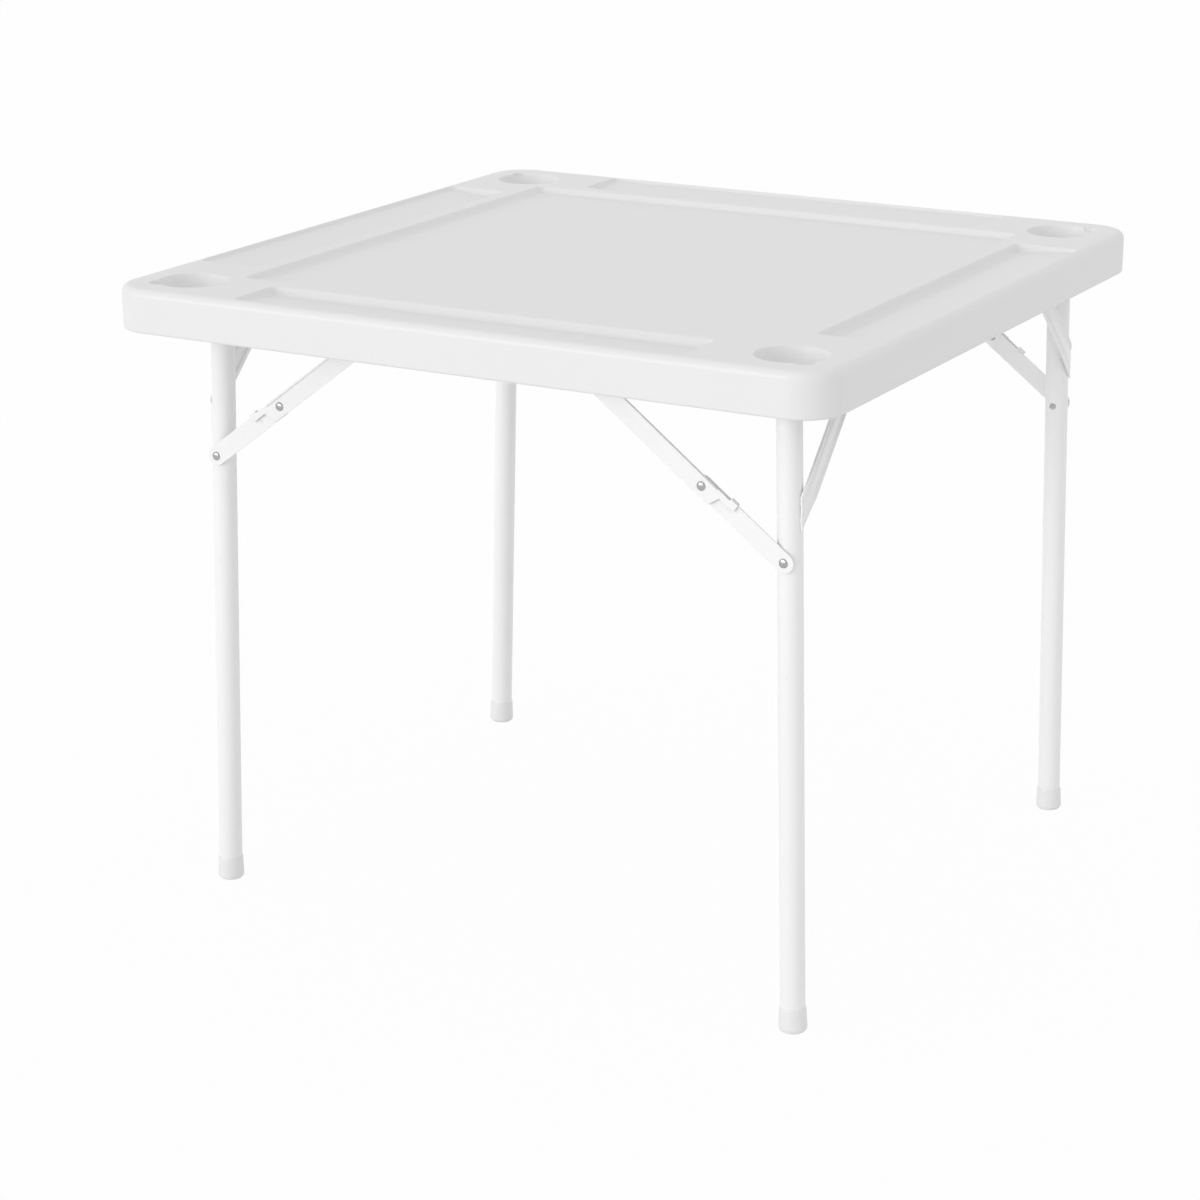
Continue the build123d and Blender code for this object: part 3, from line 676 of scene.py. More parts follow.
# %% Skin of the underside and the finished tabletop
field_half = (kiss_columns * tile_size[0] / 2, kiss_row_pairs * tile_size[1] / 2)
across = [tile_size[0] * index - field_half[0] for index in range(kiss_columns)]
along = [tile_size[1] * index - field_half[1] for index in range(kiss_row_pairs)]
field_edge = [(field_half[0], y) for y in along]
field_edge += [(-x, field_half[1]) for x in across]
field_edge += [(-field_half[0], -y) for y in along]
field_edge += [(x, -field_half[1]) for x in across]
skin_rings.append(place_ring(panel, field_edge, skin))
fill(panel, [wall_head, *skin_rings], -1)
panel.from_mesh(kiss_field.data)
bpy.data.objects.remove(kiss_field)
tabletop = to_object(panel, "tabletop_moulding")
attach(tabletop, "top")
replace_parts(tabletop, "tabletop")
print("tabletop faces:", len(tabletop.data.polygons))

# %% [markdown]
# ## Pressed and moulded small parts
#
# The links, straps, clips, rails and legs already have their outlines in the construction model, so
# they are not built anew but copied from it. To find its way about them, the script asks the frame
# where the joints are and which body and which material each piece belongs to.

# %% Where the joints are
behaviour = frame["record"]["behaviour"]
joint_spots = {joint["name"]: Vector(joint["pos_m"]) for joint in behaviour["joints"]}
slot_of_node = {part["node"]: part["material_slot"] for part in frame["record"]["subparts"]}
lean = radians(1.5)


def body_of_node(name):
    return next(body for body, parts in behaviour["bodies"].items() if name in parts)


def middle_of(name):
    low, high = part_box(name)
    return (low + high) / 2


def leg_line(name):
    """The pivot of the leg frame that a part belongs to, and the direction down its legs."""
    side = name.split("_")[0]
    way = 1 if side == "right" else -1
    return joint_spots[side + "_fold"], Vector((way * sin(lean), 0, -cos(lean)))


print("joints:", len(joint_spots))

# %% [markdown]
# Four kinds of piece are drawn truer on the way. The flange of an upper link is low at its anchor
# and rises towards the knee, and the finger beyond the knee gets slimmer, which leaves the dimple
# of the lower link free. That dimple has a hollow, so its plain bump is pressed flat here and
# turned again below. The legs are a little fuller, as the photograph shows them, and so the black
# clip that holds a folded leg opens a little wider.

# %% Truer links
flange_height = 2.4 * mm
anchor_flange_height = 1.1 * mm
dimple_height = 0.9 * mm
finger_start = 18 * mm
finger_edge = 3 * mm
finger_slimmer = 2 * mm
edge_reach = 0.5 * mm
face_reach = 0.1 * mm


def draw_upper_link(mesh, name):
    """Lowers the flange towards the anchor, and the upper edge of the finger beyond the knee."""
    anchor = joint_spots[name + "_turn"]
    along = middle_of(name.replace("upper_link", "knee_rivet_head")) - anchor
    along.y = 0
    upwards = Vector((-along.z, 0, along.x)).normalized() * (1 if along.x > 0 else -1)
    face = max(abs(vertex.co.y) for vertex in mesh.verts) - flange_height
    for vertex in mesh.verts:
        from_anchor = vertex.co - anchor
        past_knee = from_anchor.dot(along) / along.length - along.length
        if past_knee > finger_start and abs(from_anchor.dot(upwards) - finger_edge) < edge_reach:
            vertex.co += upwards * finger_slimmer
        if abs(vertex.co.y) > face + face_reach:
            share = min(max(1 + past_knee / along.length, 0), 1)
            height = anchor_flange_height + (flange_height - anchor_flange_height) * share
            vertex.co.y = (face + height) * (1 if vertex.co.y > 0 else -1)


def press_dimple(mesh, name):
    """Presses the bump of a lower link flat."""
    face = max(abs(vertex.co.y) for vertex in mesh.verts) - dimple_height
    for vertex in mesh.verts:
        vertex.co.y = min(max(vertex.co.y, -face), face)


truer = {"upper_link": draw_upper_link, "lower_link": press_dimple}
print("truer links:", sorted(truer))

# %% Truer legs and leg clip
tube_radius = 13 * mm
leg_radius = 13.6 * mm
tube_wall = 1.3 * mm
clip_gape = 13.4 * mm
clip_play = 0.2 * mm


def fill_out_leg(mesh, name):
    """Widens the outside of a leg's tube; its bore stays."""
    pivot, down = leg_line(name)
    start = Vector((pivot.x, middle_of(name).y, pivot.z))
    for vertex in mesh.verts:
        offset = vertex.co - start
        from_axis = offset - down * offset.dot(down)
        if from_axis.length > tube_radius - tube_wall / 2:
            vertex.co += from_axis.normalized() * (leg_radius - tube_radius)


def open_leg_clip(mesh, name):
    """Widens the bore of the clip that holds the right back leg."""
    leg_y, leg_z = middle_of("right_back_leg").y, joint_spots["right_fold"].z
    for vertex in mesh.verts:
        across = Vector((vertex.co.y - leg_y, vertex.co.z - leg_z))
        if abs(across.length - clip_gape) < face_reach:
            across *= (leg_radius + clip_play) / across.length
            vertex.co.y, vertex.co.z = leg_y + across.x, leg_z + across.y


truer["_leg"] = fill_out_leg
truer["leg_clip"] = open_leg_clip
print("truer pieces:", sorted(truer))

# %% [markdown]
# What the copied pieces still lack is the soft edge that a press or a mould leaves, which is the
# line of light one sees along a painted strip. A Bevel modifier can only round an edge between two
# whole faces, so the small triangles of each flat side are merged into one face first. A leg is
# round nearly all over, so it gets no bevel and its few edges are only marked as sharp.

# %% Soft edges for the pressed and moulded parts
merge_gap = 0.01 * mm
flat_angle = radians(2)
edge_angle = radians(35)
edge_rounds = {"link": 0.5, "strap": 0.8, "clip": 0.6, "rail": 0.5, "plugs": 0.7, "leg": 0}


def round_edges(made, width, segments=3):
    rounding = made.modifiers.new("edges", "BEVEL")
    rounding.width = width
    rounding.segments = segments
    rounding.limit_method = "ANGLE"
    rounding.angle_limit = edge_angle
    rounding.miter_outer = "MITER_ARC"


def softened(name, edge_round):
    """A copy of a node with merged flat faces and rounded edges, in the node's place."""
    mesh = bmesh.new()
    mesh.from_mesh(nodes[name].data)
    bmesh.ops.remove_doubles(mesh, verts=mesh.verts, dist=merge_gap)
    for ending, correct in truer.items():
        if name.endswith(ending):
            correct(mesh, name)
    bmesh.ops.dissolve_limit(mesh, angle_limit=flat_angle, verts=mesh.verts, edges=mesh.edges)
    data = bpy.data.meshes.new(name + "_soft")
    mesh.to_mesh(data)
    mesh.free()
    data.shade_smooth()
    made = add_object(name + "_soft", data)
    if edge_round:
        round_edges(made, edge_round)
    else:
        data.set_sharp_from_angle(angle=edge_angle)
    even_shading(made)
    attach(made, body_of_node(name))
    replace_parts(made, name)
    return made


pieces = {}
for name in nodes:
    ending = name.split("_")[-1]
    if ending in edge_rounds:
        pieces[name] = softened(name, edge_rounds[ending] * mm)
print("softened pieces:", len(pieces), "faces:", sum(len(made.data.polygons) for made in pieces.values()))

# %% [markdown]
# ## Finishes
#
# Five finishes make the whole table: three white ones, black plastic and bright zinc. The white
# ones differ only a little in tone, so what tells them apart is the surface: the moulding has a
# fine grain and broad, faint waves where the plastic cooled, the painted steel is lighter, smoother
# and glossier, and the caps lie between them. Every finish uses waves and grain, so they are a node
# group.

# %% Shared surface effects


def shader_group(name, inputs, outputs):
    group = bpy.data.node_groups.new(name, "ShaderNodeTree")
    for title, value in inputs:
        socket = group.interface.new_socket(title, in_out="INPUT", socket_type="NodeSocketFloat")
        socket.default_value = value
    for title in outputs:
        group.interface.new_socket(title, in_out="OUTPUT", socket_type="NodeSocketFloat")
    return group, group.nodes.new("NodeGroupInput"), group.nodes.new("NodeGroupOutput")


grain, given, result = shader_group(
    "grain_and_waves",
    [("Grain Scale", 900), ("Wave Scale", 9), ("Wave Share", 0.5)],
    ["Height", "Patches"],
)
place = node(grain, "ShaderNodeTexCoord")
fine = node(grain, "ShaderNodeTexNoise")
fine.inputs["Detail"].default_value = 3
broad = node(grain, "ShaderNodeTexNoise")
broad.inputs["Detail"].default_value = 2
blend = node(grain, "ShaderNodeMix", data_type="FLOAT")
wire(
    grain,
    (place.outputs["Object"], fine.inputs["Vector"]),
    (place.outputs["Object"], broad.inputs["Vector"]),
    (given.outputs["Grain Scale"], fine.inputs["Scale"]),
    (given.outputs["Wave Scale"], broad.inputs["Scale"]),
    (given.outputs["Wave Share"], blend.inputs["Factor"]),
    (fine.outputs["Fac"], blend.inputs["A"]),
    (broad.outputs["Fac"], blend.inputs["B"]),
    (blend.outputs["Result"], result.inputs["Height"]),
    (broad.outputs["Fac"], result.inputs["Patches"]),
)
print("shared effect:", grain.name)

# %% [markdown]
# A finish is a principled surface with three small disturbances, because nothing real is quite even:
# its tone and its roughness drift over the broad patches, and the grain and the waves make a bump
# that is only felt as a slightly uneven reflection.

# %% One recipe for all finishes
bump_depth = 0.1 * mm


def finish_material(
    name, colour, roughness, bump, grain_scale, wave_scale, metallic=0.0, spread=0.03, tone=0.02
):
    """A surface whose colour and roughness drift a little over broad patches, with a fine bump."""
    material = bpy.data.materials.new(name)
    material.use_nodes = True
    tree = material.node_tree
    surface = tree.nodes["Principled BSDF"]
    surface.inputs["Metallic"].default_value = metallic
    effect = node(tree, "ShaderNodeGroup", node_tree=grain)
    effect.inputs["Grain Scale"].default_value = grain_scale
    effect.inputs["Wave Scale"].default_value = wave_scale
    relief = node(tree, "ShaderNodeBump")
    relief.inputs["Strength"].default_value = bump
    relief.inputs["Distance"].default_value = bump_depth
    tint = node(tree, "ShaderNodeMapRange")
    tint.inputs["To Min"].default_value = 0
    tint.inputs["To Max"].default_value = 1
    shade = node(tree, "ShaderNodeMix", data_type="RGBA")
    shade.inputs["A"].default_value = (*[channel * (1 - tone) for channel in colour], 1)
    shade.inputs["B"].default_value = (*colour, 1)
    gloss = node(tree, "ShaderNodeMapRange")
    gloss.inputs["To Min"].default_value = roughness - spread
    gloss.inputs["To Max"].default_value = roughness + spread
    wire(
        tree,
        (effect.outputs["Height"], relief.inputs["Height"]),
        (effect.outputs["Patches"], tint.inputs["Value"]),
        (tint.outputs["Result"], shade.inputs["Factor"]),
        (effect.outputs["Patches"], gloss.inputs["Value"]),
        (shade.outputs["Result"], surface.inputs["Base Color"]),
        (gloss.outputs["Result"], surface.inputs["Roughness"]),
        (relief.outputs["Normal"], surface.inputs["Normal"]),
    )
    return material


print("deepest bump:", bump_depth)

# %% [markdown]
# The tones were found by comparing the render with the photograph under the plain light below. The
# plastic is the greyer white, the paint the lighter one. Zinc is the only metal: its roughness
# spreads further and its patches are smaller, which gives the cloudy look of plated steel.

# %% Finishes of the table
moulded_white = finish_material(
    "moulded_white", (0.80, 0.80, 0.80), roughness=0.42, bump=0.25, grain_scale=900, wave_scale=8
)
painted_white = finish_material(
    "painted_white", (0.90, 0.90, 0.90), roughness=0.36, bump=0.12, grain_scale=420, wave_scale=20
)
cap_white = finish_material(
    "cap_white", (0.84, 0.84, 0.84), roughness=0.42, bump=0.15, grain_scale=700, wave_scale=30
)
moulded_black = finish_material(
    "moulded_black", (0.018, 0.018, 0.019), roughness=0.45, bump=0.3, grain_scale=800, wave_scale=40
)
zinc = finish_material(
    "zinc",
    (0.47, 0.47, 0.48),
    roughness=0.22,
    bump=0.15,
    grain_scale=1500,
    wave_scale=120,
    metallic=1.0,
    spread=0.06,
    tone=0.2,
)
finish_of_slot = {
    "white_plastic": moulded_white,
    "white_steel": painted_white,
    "foot_plastic": cap_white,
    "black_plastic": moulded_black,
    "bright_steel": zinc,
}


def dress(made, material):
    made.data.materials.clear()
    made.data.materials.append(material)


dress(tabletop, moulded_white)
for name, made in (*nodes.items(), *pieces.items()):
    dress(made, finish_of_slot[slot_of_node[name]])
print("finishes:", sorted(finish_of_slot))

# %% [markdown]
# ## Gussets
#
# A gusset is a strip of sheet that stiffens the corner between crossbar and leg. It is pressed to a
# channel with a bead along its middle, so its section is one wavy line with the sheet's thickness.
# The strip is that section, set at many stations from the crossbar to the leg. Both ends are cut
# slantwise, and the relief nearly fades out there. At the crossbar, which is thinner than the leg,
# the strip steps down.

# %% Section of a gusset
bead_height = 2.4
# distance from the middle line and height, in millimetres, from the flange's edge to the bead
half_section = [(14.0, 2.6), (13.7, 3.0), (13.2, 3.1), (12.7, 2.9), (12.2, 2.3), (11.4, 0.9), (10.8, 0.25)]
half_section += [(10.0, 0), (6.2, 0), (5.6, 0.2), (5.0, 1.0), (4.4, 1.9), (3.7, 2.3), (2.4, bead_height)]
section = [(-offset, height) for offset, height in half_section] + [(0, bead_height)] + half_section[::-1]
print("points of a gusset's section:", 2 * len(section))

# %% Gussets


def settle_piece(mesh, name, finish):
    """A finished piece from a mesh, dressed, on the body of a node."""
    made = to_object(mesh, name + "_drawn")
    dress(made, finish)
    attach(made, body_of_node(name))
    return made


gusset_arms = {"right": 115 * mm, "left": 126 * mm}
gusset_end_margin = 4 * mm
gusset_sheet = 1.8 * mm
crossbar_base = 9.2 * mm
middle_base = 14.0 * mm
leg_base = 13.4 * mm
flat_relief = 0.1
step_start, step_end = 16 * mm, 40 * mm
fade_start_gap = 24 * mm
fade_length = 32 * mm
last_station_gap = 11 * mm
station_count = 28


def gusset_height(reach, arm, relief, layer):
    """The height over the frame's plane at a distance along the strip; layer 0 is inside, 1 outside."""
    rise = ease((reach - step_start) / (step_end - step_start))
    fall = ease((reach - sqrt(2) * arm + fade_start_gap) / fade_length)
    pressed = flat_relief + (1 - flat_relief) * rise * (1 - fall)
    height = crossbar_base + (middle_base - crossbar_base) * rise + (leg_base - middle_base) * fall
    return height + (layer * gusset_sheet + relief * pressed)


def gusset(mesh, name):
    """A strip from the crossbar to the leg, with its slanting ends."""
    pivot, down = leg_line(name)
    outward = Vector((-down.z, 0, down.x)) * (1 if down.x > 0 else -1)
    leg_y = middle_of(name.replace("gusset", "leg")).y
    to_leg = Vector((0, 1 if leg_y > 0 else -1, 0))
    arm = gusset_arms[name.split("_")[0]]
    corner = pivot + to_leg * (abs(leg_y) - arm)
    along = (down + to_leg).normalized()
    across = (down - to_leg).normalized()
    length = sqrt(2) * arm - last_station_gap - step_start
    stations = [step_start + length * index / station_count for index in range(station_count + 1)]
    rings = []
    for station in [None, *stations, None]:
        ring = []
        for layer, points in ((1, section), (0, section[::-1])):
            for offset, relief in points:
                offset *= mm
                if station is not None:
                    reach = station
                elif not rings:
                    reach = -sqrt(2) * gusset_end_margin - offset
                else:
                    reach = sqrt(2) * (arm + gusset_end_margin) + offset
                height = gusset_height(reach, arm, relief * mm, layer)
                ring.append(mesh.verts.new(corner + along * reach + across * offset + outward * height))
        rings.append(ring)
    for one, other in zip(rings, rings[1:]):
        band(mesh, one, other)
    mesh.faces.new(rings[0])
    mesh.faces.new(rings[-1])


for name in nodes:
    if name.endswith("gusset"):
        mesh = bmesh.new()
        gusset(mesh, name)
        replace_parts(settle_piece(mesh, name, painted_white), name)
print("stations of a gusset:", station_count + 3)

# %% [markdown]
# ## Turned and set parts
#
# Rivets, screws, foot caps, the dimples of the links and a small punch mark on each leg are all
# round, so one lathe tool makes them: it turns a profile about an axis. A profile is a list of
# radii and heights in millimetres.

# %% The lathe
lathe_steps = 24


def turned(mesh, profile, spot, axis, steps=lathe_steps):
    """Turns (radius, height) pairs about an axis through a spot; a radius of zero is a tip."""
    aim = Vector(axis).to_track_quat("Z", "Y").to_matrix()
    rings = []
    for radius, height in profile:
        ring = []
        for step in range(steps if radius else 1):
            angle = 2 * pi * step / steps
            point = aim @ Vector((radius * cos(angle), radius * sin(angle), height))
            ring.append(mesh.verts.new(spot + point * mm))
        rings.append(ring)
    for first, second in zip(rings, rings[1:]):
        band(mesh, first, second)


print("steps of a turn:", lathe_steps)

# %% [markdown]
# A foot cap is a soft plastic sleeve with a thick floor. It flares a little towards the floor, and
# its profile goes from the inside over the open rim to the outside. The legs lean, so the cap is
# turned about the leg, and whatever would reach under the floor is pressed up to it. The dimple of
# a link and the mark on a leg are low rings with a hollow, pressed out of the sheet.

# %% Foot caps, dimples and marks
cap_profile = [(0, 2), (13.4, 2), (13.4, -0.3), (13.9, 0.1), (14.4, 0.9), (14.7, 2.4), (14.8, 4.5)]
cap_profile += [(15.1, 12), (15.7, 22.6), (15.7, 23.8), (15.4, 25.0), (14.7, 26.4), (13.6, 27.6)]
cap_profile += [(12.3, 28.4), (0, 28.4)]
cap_height = 28 * mm
dimple_profile = [(0, -0.3), (2.6, -0.3), (2.6, 0), (2.5, 0.5), (2.1, 0.85), (1.6, 0.8), (1.1, 0.45)]
dimple_profile += [(0.5, 0.15), (0, 0.1)]
dimple_reach = 37 * mm
mark_profile = [(0, -0.5), (2.4, -0.5), (2.4, 0), (2.1, 0.35), (1.7, 0.4), (1.3, 0.3), (1.1, 0.02)]
mark_profile += [(0, 0.02)]
mark_height = 402 * mm


def foot_cap(mesh, name):
    pivot, down = leg_line(name)
    rim = pivot + down * (pivot.z / cos(lean) - cap_height)
    rim.y = middle_of(name.replace("foot", "leg")).y
    turned(mesh, cap_profile, rim, down, steps=64)
    for vertex in mesh.verts:
        vertex.co.z = max(vertex.co.z, 0)


def leg_mark(mesh, name):
    pivot, down = leg_line(name)
    spot = pivot + down * (pivot.z - mark_height) / cos(lean)
    way = 1 if middle_of(name).y > 0 else -1
    spot.y = middle_of(name).y + way * leg_radius
    turned(mesh, mark_profile, spot, (0, way, 0))


def link_dimple(mesh, name):
    rivet = joint_spots[name + "_turn"]
    knee = middle_of(name.replace("lower_link", "knee_rivet_tail"))
    spot = knee + (Vector((rivet.x, knee.y, rivet.z)) - knee).normalized() * dimple_reach
    way = 1 if spot.y > 0 else -1
    spot.y = way * (max(abs(corner.y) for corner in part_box(name)) - dimple_height)
    turned(mesh, dimple_profile, spot, (0, way, 0), steps=32)


turned_pieces = {
    "foot": (foot_cap, cap_white),
    "_leg": (leg_mark, painted_white),
    "lower_link": (link_dimple, painted_white),
}
for name in nodes:
    for ending, (shape, finish) in turned_pieces.items():
        if name.endswith(ending):
            mesh = bmesh.new()
            shape(mesh, name)
            made = settle_piece(mesh, name, finish)
            if ending == "foot":
                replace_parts(made, name)
print("foot caps, dimples and marks made")

# %% [markdown]
# A rivet has a domed head at one end and a rolled tail at the other; a screw has a cross cut into
# its head. Each of these ends is made once, and Geometry Nodes set it on every spot, turned to the
# axis that is stored with the spot.

# %% A rivet head and a rolled tail
head_height = 1.7
head_profile = [(0, -0.2), (5.1, -0.2), (5.2, 0.1), (5.0, 0.5), (4.4, 0.95), (3.4, 1.35), (2.2, 1.58)]
head_profile += [(1.1, 1.68), (0, head_height)]
tail_height = 1.0
tail_profile = [(0, -0.2), (4.1, -0.2), (4.2, 0.1), (4.1, 0.5), (3.7, 0.85), (3.1, tail_height)]
tail_profile += [(2.5, 0.85), (2.05, 0.4), (1.9, -0.1), (0, -0.1)]


def round_part(name, profile):
    mesh = bmesh.new()
    turned(mesh, profile, Vector(), (0, 0, 1))
    return to_object(mesh, name)


rivet_ends = {
    "head": round_part("rivet_head", head_profile),
    "tail": round_part("rivet_tail", tail_profile),
}
print("rivet ends:", sorted(rivet_ends))

# %% [markdown]
# The head of a screw is turned like a rivet's, but left open on top. A cross-shaped ring, made of
# one arm turned four times, is filled in there, and the recess goes down from it.

# %% A screw head
screw_height = 1.6
screw_top = 1.55
screw_profile = [(0, -0.2), (3.5, -0.2), (3.6, 0.1), (3.5, 0.5), (3.1, 0.95), (2.5, 1.35)]
screw_profile += [(2.0, screw_top)]
cross_mouth_reach, cross_mouth_half_width = 1.3, 0.35
cross_floor_reach, cross_floor_half_width = 0.9, 0.25
cross_floor_height = 0.6


def cross_ring(mesh, reach, half_width, z):
    points = []
    for quarter in range(4):
        turn = Matrix.Rotation(quarter * pi / 2, 2)
        for point in ((reach, -half_width), (reach, half_width), (half_width, half_width)):
            points.append(turn @ Vector(point) * mm)
    return place_ring(mesh, points, z * mm)


mesh = bmesh.new()
turned(mesh, screw_profile, Vector(), (0, 0, 1))
top_ring = list(mesh.verts)[-lathe_steps:]
mouth = cross_ring(mesh, cross_mouth_reach, cross_mouth_half_width, screw_top)
floor_ring = cross_ring(mesh, cross_floor_reach, cross_floor_half_width, cross_floor_height)
fill(mesh, [top_ring, mouth], 1)
band(mesh, mouth, floor_ring)
mesh.faces.new(floor_ring)
screw_head = to_object(mesh, "screw_head")
print("faces of a screw head:", len(screw_head.data.polygons))

# %% [markdown]
# The second tree sets one part on many spots. The spots are the points of a small mesh, and each
# carries the axis that the part's own Z turns to, stored as a named attribute.

# %% Geometry Nodes that set a part on each spot
set_tree, given, result = new_tree(
    "set_parts",
    [("Spots", "NodeSocketGeometry"), ("Part", "NodeSocketObject"), ("Material", "NodeSocketMaterial")],
)
axis = node(set_tree, "GeometryNodeInputNamedAttribute", data_type="FLOAT_VECTOR")
axis.inputs["Name"].default_value = "axis"
aim = node(set_tree, "FunctionNodeAlignRotationToVector", axis="Z")
source = node(set_tree, "GeometryNodeObjectInfo")
copies = node(set_tree, "GeometryNodeInstanceOnPoints")
real = node(set_tree, "GeometryNodeRealizeInstances")
paint = node(set_tree, "GeometryNodeSetMaterial")
wire(
    set_tree,
    (axis.outputs["Attribute"], aim.inputs["Vector"]),
    (given.outputs["Part"], source.inputs["Object"]),
    (given.outputs["Spots"], copies.inputs["Points"]),
    (source.outputs["Geometry"], copies.inputs["Instance"]),
    (aim.outputs["Rotation"], copies.inputs["Rotation"]),
    (copies.outputs["Instances"], real.inputs["Geometry"]),
    (real.outputs["Geometry"], paint.inputs["Geometry"]),
    (given.outputs["Material"], paint.inputs["Material"]),
    (paint.outputs["Geometry"], result.inputs["Geometry"]),
)
print("tree:", set_tree.name)

# %% [markdown]
# The construction model keeps the rivets of a row in one node. Its separate solids tell where each
# rivet starts and ends, and so where its head and tail go.

# %% Separate solids of a node


def solids_of(name):
    """The boxes of a node's separate solids, as (lowest corner, highest corner)."""
    mesh = bmesh.new()
    mesh.from_mesh(nodes[name].data)
    bmesh.ops.remove_doubles(mesh, verts=mesh.verts, dist=merge_gap)
    boxes, met = [], set()
    for start in mesh.verts:
        if start in met:
            continue
        solid = [start]
        met.add(start)
        for vertex in solid:
            for edge in vertex.link_edges:
                other = edge.other_vert(vertex)
                if other not in met:
                    met.add(other)
                    solid.append(other)
        low = Vector(min(vertex.co[axis] for vertex in solid) for axis in range(3))
        high = Vector(max(vertex.co[axis] for vertex in solid) for axis in range(3))
        boxes.append((low, high))
    mesh.free()
    return boxes


print("clip screws:", len(solids_of("rail_clip_screws")))

# %% [markdown]
# All rivets lie across the table, so their axis is Y. A rivet of a leg has its rolled tail on the
# inside and its head on the outside, an anchor has two heads, and the rivet of a knee is shared by
# two links, which get one half each.

# %% Rivets
shank_radius = 2.6
shank_gap = 0.2
# forms at the inner and the outer end
forms_of_node = {
    "leg_rivets": ("tail", "head"),
    "knee_rivet_head": (None, "head"),
    "knee_rivet_tail": ("tail", None),
    "anchor_rivets": ("head", "head"),
}
heights = {"head": head_height * mm, "tail": tail_height * mm, None: 0}
knee_tail_shift = 0.4 * mm


def rivet(mesh, low, high, ending, spots):
    """Turns the shank of a rivet inside its box and adds the spots and axes of its ends."""
    way = 1 if low.y + high.y > 0 else -1
    x, z = (low.x + high.x) / 2, (low.z + high.z) / 2
    inner, outer = sorted((abs(low.y), abs(high.y)))
    inner_form, outer_form = forms_of_node[ending]
    inner += heights[inner_form] + (knee_tail_shift if ending == "knee_rivet_tail" else 0)
    outer -= heights[outer_form]
    if inner_form:
        spots[inner_form].append(((x, way * inner, z), (0, -way, 0)))
    if outer_form:
        spots[outer_form].append(((x, way * outer, z), (0, way, 0)))
    length = (outer - inner) / mm
    shank = [(0, shank_gap), (shank_radius, shank_gap), (shank_radius, length), (0, length)]
    turned(mesh, shank, Vector((x, way * inner, z)), (0, way, 0), steps=16)


rivet_count = 0
for name in nodes:
    ending = next((ending for ending in forms_of_node if name.endswith(ending)), None)
    if not ending:
        continue
    spots = {"head": [], "tail": []}
    mesh = bmesh.new()
    for low, high in solids_of(name):
        rivet(mesh, low, high, ending, spots)
        rivet_count += 1
    for form, places in spots.items():
        if places:
            made = grow(set_tree, name + "_" + form, None, places, Part=rivet_ends[form], Material=zinc)
            mesh.from_mesh(made.data)
            bpy.data.objects.remove(made)
    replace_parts(settle_piece(mesh, name, zinc), name)
print("rivets:", rivet_count)

# %% [markdown]
# The screws all point down from the underside. Only their heads show, so a screw is no more than
# its head, set at the lower end of its solid.

# %% Screws
for name in ("rail_clip_screws", "anchor_strap_screws"):
    places = []
    for low, high in solids_of(name):
        spot = ((low.x + high.x) / 2, (low.y + high.y) / 2, low.z + screw_height * mm)
        places.append((spot, (0, 0, -1)))
    made = grow(set_tree, name + "_set", body_of_node(name), places, Part=screw_head, Material=zinc)
    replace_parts(made, name)
for made in (*rivet_ends.values(), screw_head):
    bpy.data.objects.remove(made)
print("last screw's spot:", places[-1])

# %% [markdown]
# ## Studio
#
# The photograph is a cut-out on white, so floor and world are white by themselves and not by more
# light. A Light Path node tells which rays come straight from the camera, or by way of gloss or
# glass: those see white, and all others see an ordinary floor, which keeps the table's shadow.

# %% Floor
floor_half = 12
floor_colour = (0.88, 0.88, 0.88, 1)
floor_roughness = 0.9
floor_data = bpy.data.meshes.new("studio_floor")
corners = [(sx * floor_half, sy * floor_half, 0) for sx, sy in ((-1, -1), (1, -1), (1, 1), (-1, 1))]
floor_data.from_pydata(corners, [], [(0, 1, 2, 3)])
floor = add_object("studio_floor", floor_data)


def seen_directly(tree):
    """A value of 1 for rays from the camera, off glossy surfaces and through glass, else 0."""
    path = node(tree, "ShaderNodeLightPath")
    total = path.outputs["Is Camera Ray"]
    for title in ("Is Glossy Ray", "Is Transmission Ray"):
        either = node(tree, "ShaderNodeMath", operation="MAXIMUM")
        wire(tree, (total, either.inputs[0]), (path.outputs[title], either.inputs[1]))
        total = either.outputs[0]
    return total


backdrop_share = 0.955
floor_material = bpy.data.materials.new("studio_floor")
floor_material.use_nodes = True
ground = floor_material.node_tree
matte = ground.nodes["Principled BSDF"]
matte.inputs["Base Color"].default_value = floor_colour
matte.inputs["Roughness"].default_value = floor_roughness
white = node(ground, "ShaderNodeEmission")
white.inputs["Strength"].default_value = 1
share = node(ground, "ShaderNodeMath", operation="MULTIPLY")
share.inputs[1].default_value = backdrop_share
blank = node(ground, "ShaderNodeMixShader")
wire(
    ground,
    (seen_directly(ground), share.inputs[0]),
    (share.outputs[0], blank.inputs["Fac"]),
    (matte.outputs["BSDF"], blank.inputs[1]),
    (white.outputs["Emission"], blank.inputs[2]),
    (blank.outputs["Shader"], ground.nodes["Material Output"].inputs["Surface"]),
)
floor_data.materials.append(floor_material)
print("floor:", floor.name)

# %% [markdown]
# The world gives the even light of a white room. It is a little less than full, so that the white
# plastic doesn't clip.

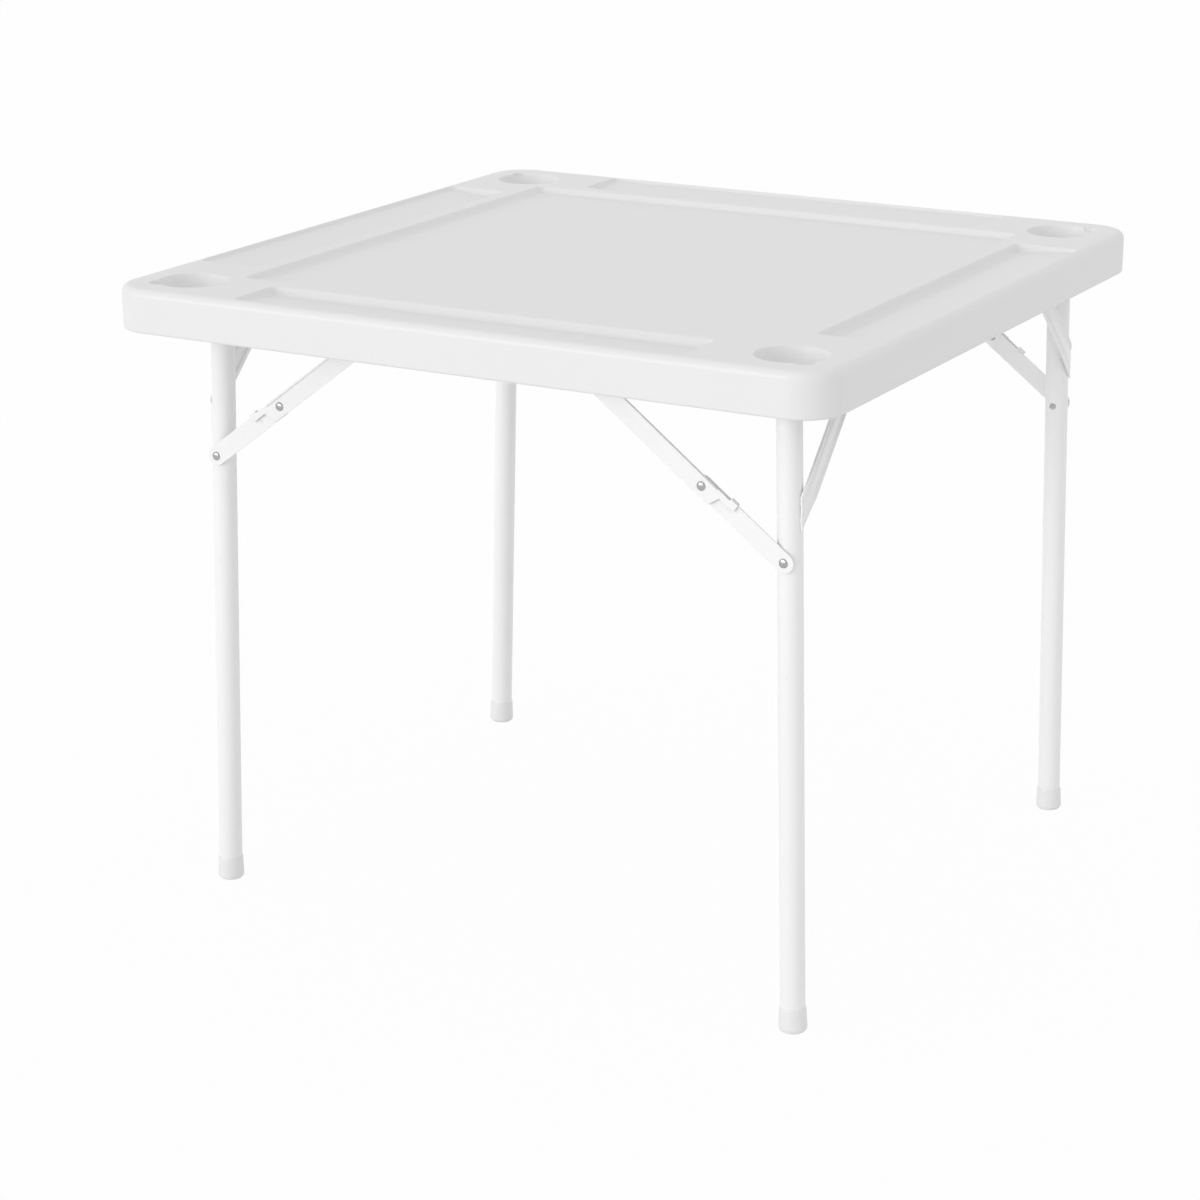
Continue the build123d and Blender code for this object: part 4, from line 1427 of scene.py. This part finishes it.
# %% World
glow_strength = 0.82
world = bpy.data.worlds.new("studio")
bpy.context.scene.world = world
world.use_nodes = True
sky = world.node_tree
glow = sky.nodes["Background"]
glow.inputs["Color"].default_value = (1, 1, 1, 1)
glow.inputs["Strength"].default_value = glow_strength
seen = node(sky, "ShaderNodeBackground")
seen.inputs["Color"].default_value = (1, 1, 1, 1)
seen.inputs["Strength"].default_value = 1
mix = node(sky, "ShaderNodeMixShader")
wire(
    sky,
    (seen_directly(sky), mix.inputs["Fac"]),
    (glow.outputs["Background"], mix.inputs[1]),
    (seen.outputs["Background"], mix.inputs[2]),
    (mix.outputs["Shader"], sky.nodes["World Output"].inputs["Surface"]),
)
print("world:", world.name)

# %% [markdown]
# Two windows shape the table. The strong one is low in front and a little to the left, which is why
# the front of the skirt is lighter than the top. The weak one is on the right, where the photograph
# is darkest.

# %% Windows


def window(name, turn, height, strength, spread):
    """A soft far light, turned from the front to the right and raised by degrees."""
    data = bpy.data.lights.new(name, "SUN")
    data.energy = strength
    data.angle = radians(spread)
    made = add_object(name, data)
    turn, height = radians(turn), radians(height)
    towards = Vector((sin(turn) * cos(height), -cos(turn) * cos(height), sin(height)))
    made.rotation_euler = towards.to_track_quat("Z", "Y").to_euler()
    print("window:", name, "strength:", strength)


window("front_window", turn=-26, height=4, strength=1.26, spread=40)
window("right_window", turn=72, height=3, strength=0.08, spread=40)

# %% [markdown]
# The camera stands where the photograph was taken from. Its place, its turn and its lens were fitted
# to the corners of the tabletop, the leg lines and the feet in the photograph.

# %% Camera
camera_data = bpy.data.cameras.new("camera")
camera = add_object("camera", camera_data)
camera_spot = Vector((1.6963, -3.1503, 1.4589))
azimuth, elevation = radians(29.098), radians(17.659)
back = Vector((sin(azimuth) * cos(elevation), -cos(azimuth) * cos(elevation), sin(elevation)))
camera.location = camera_spot
camera.rotation_euler = (-back).to_track_quat("-Z", "Y").to_euler()
camera_data.sensor_width = 36
camera_data.lens = 93.855
scene = bpy.context.scene
scene.camera = camera
scene.view_settings.view_transform = "Standard"
print("camera:", camera_spot, "lens:", camera_data.lens)
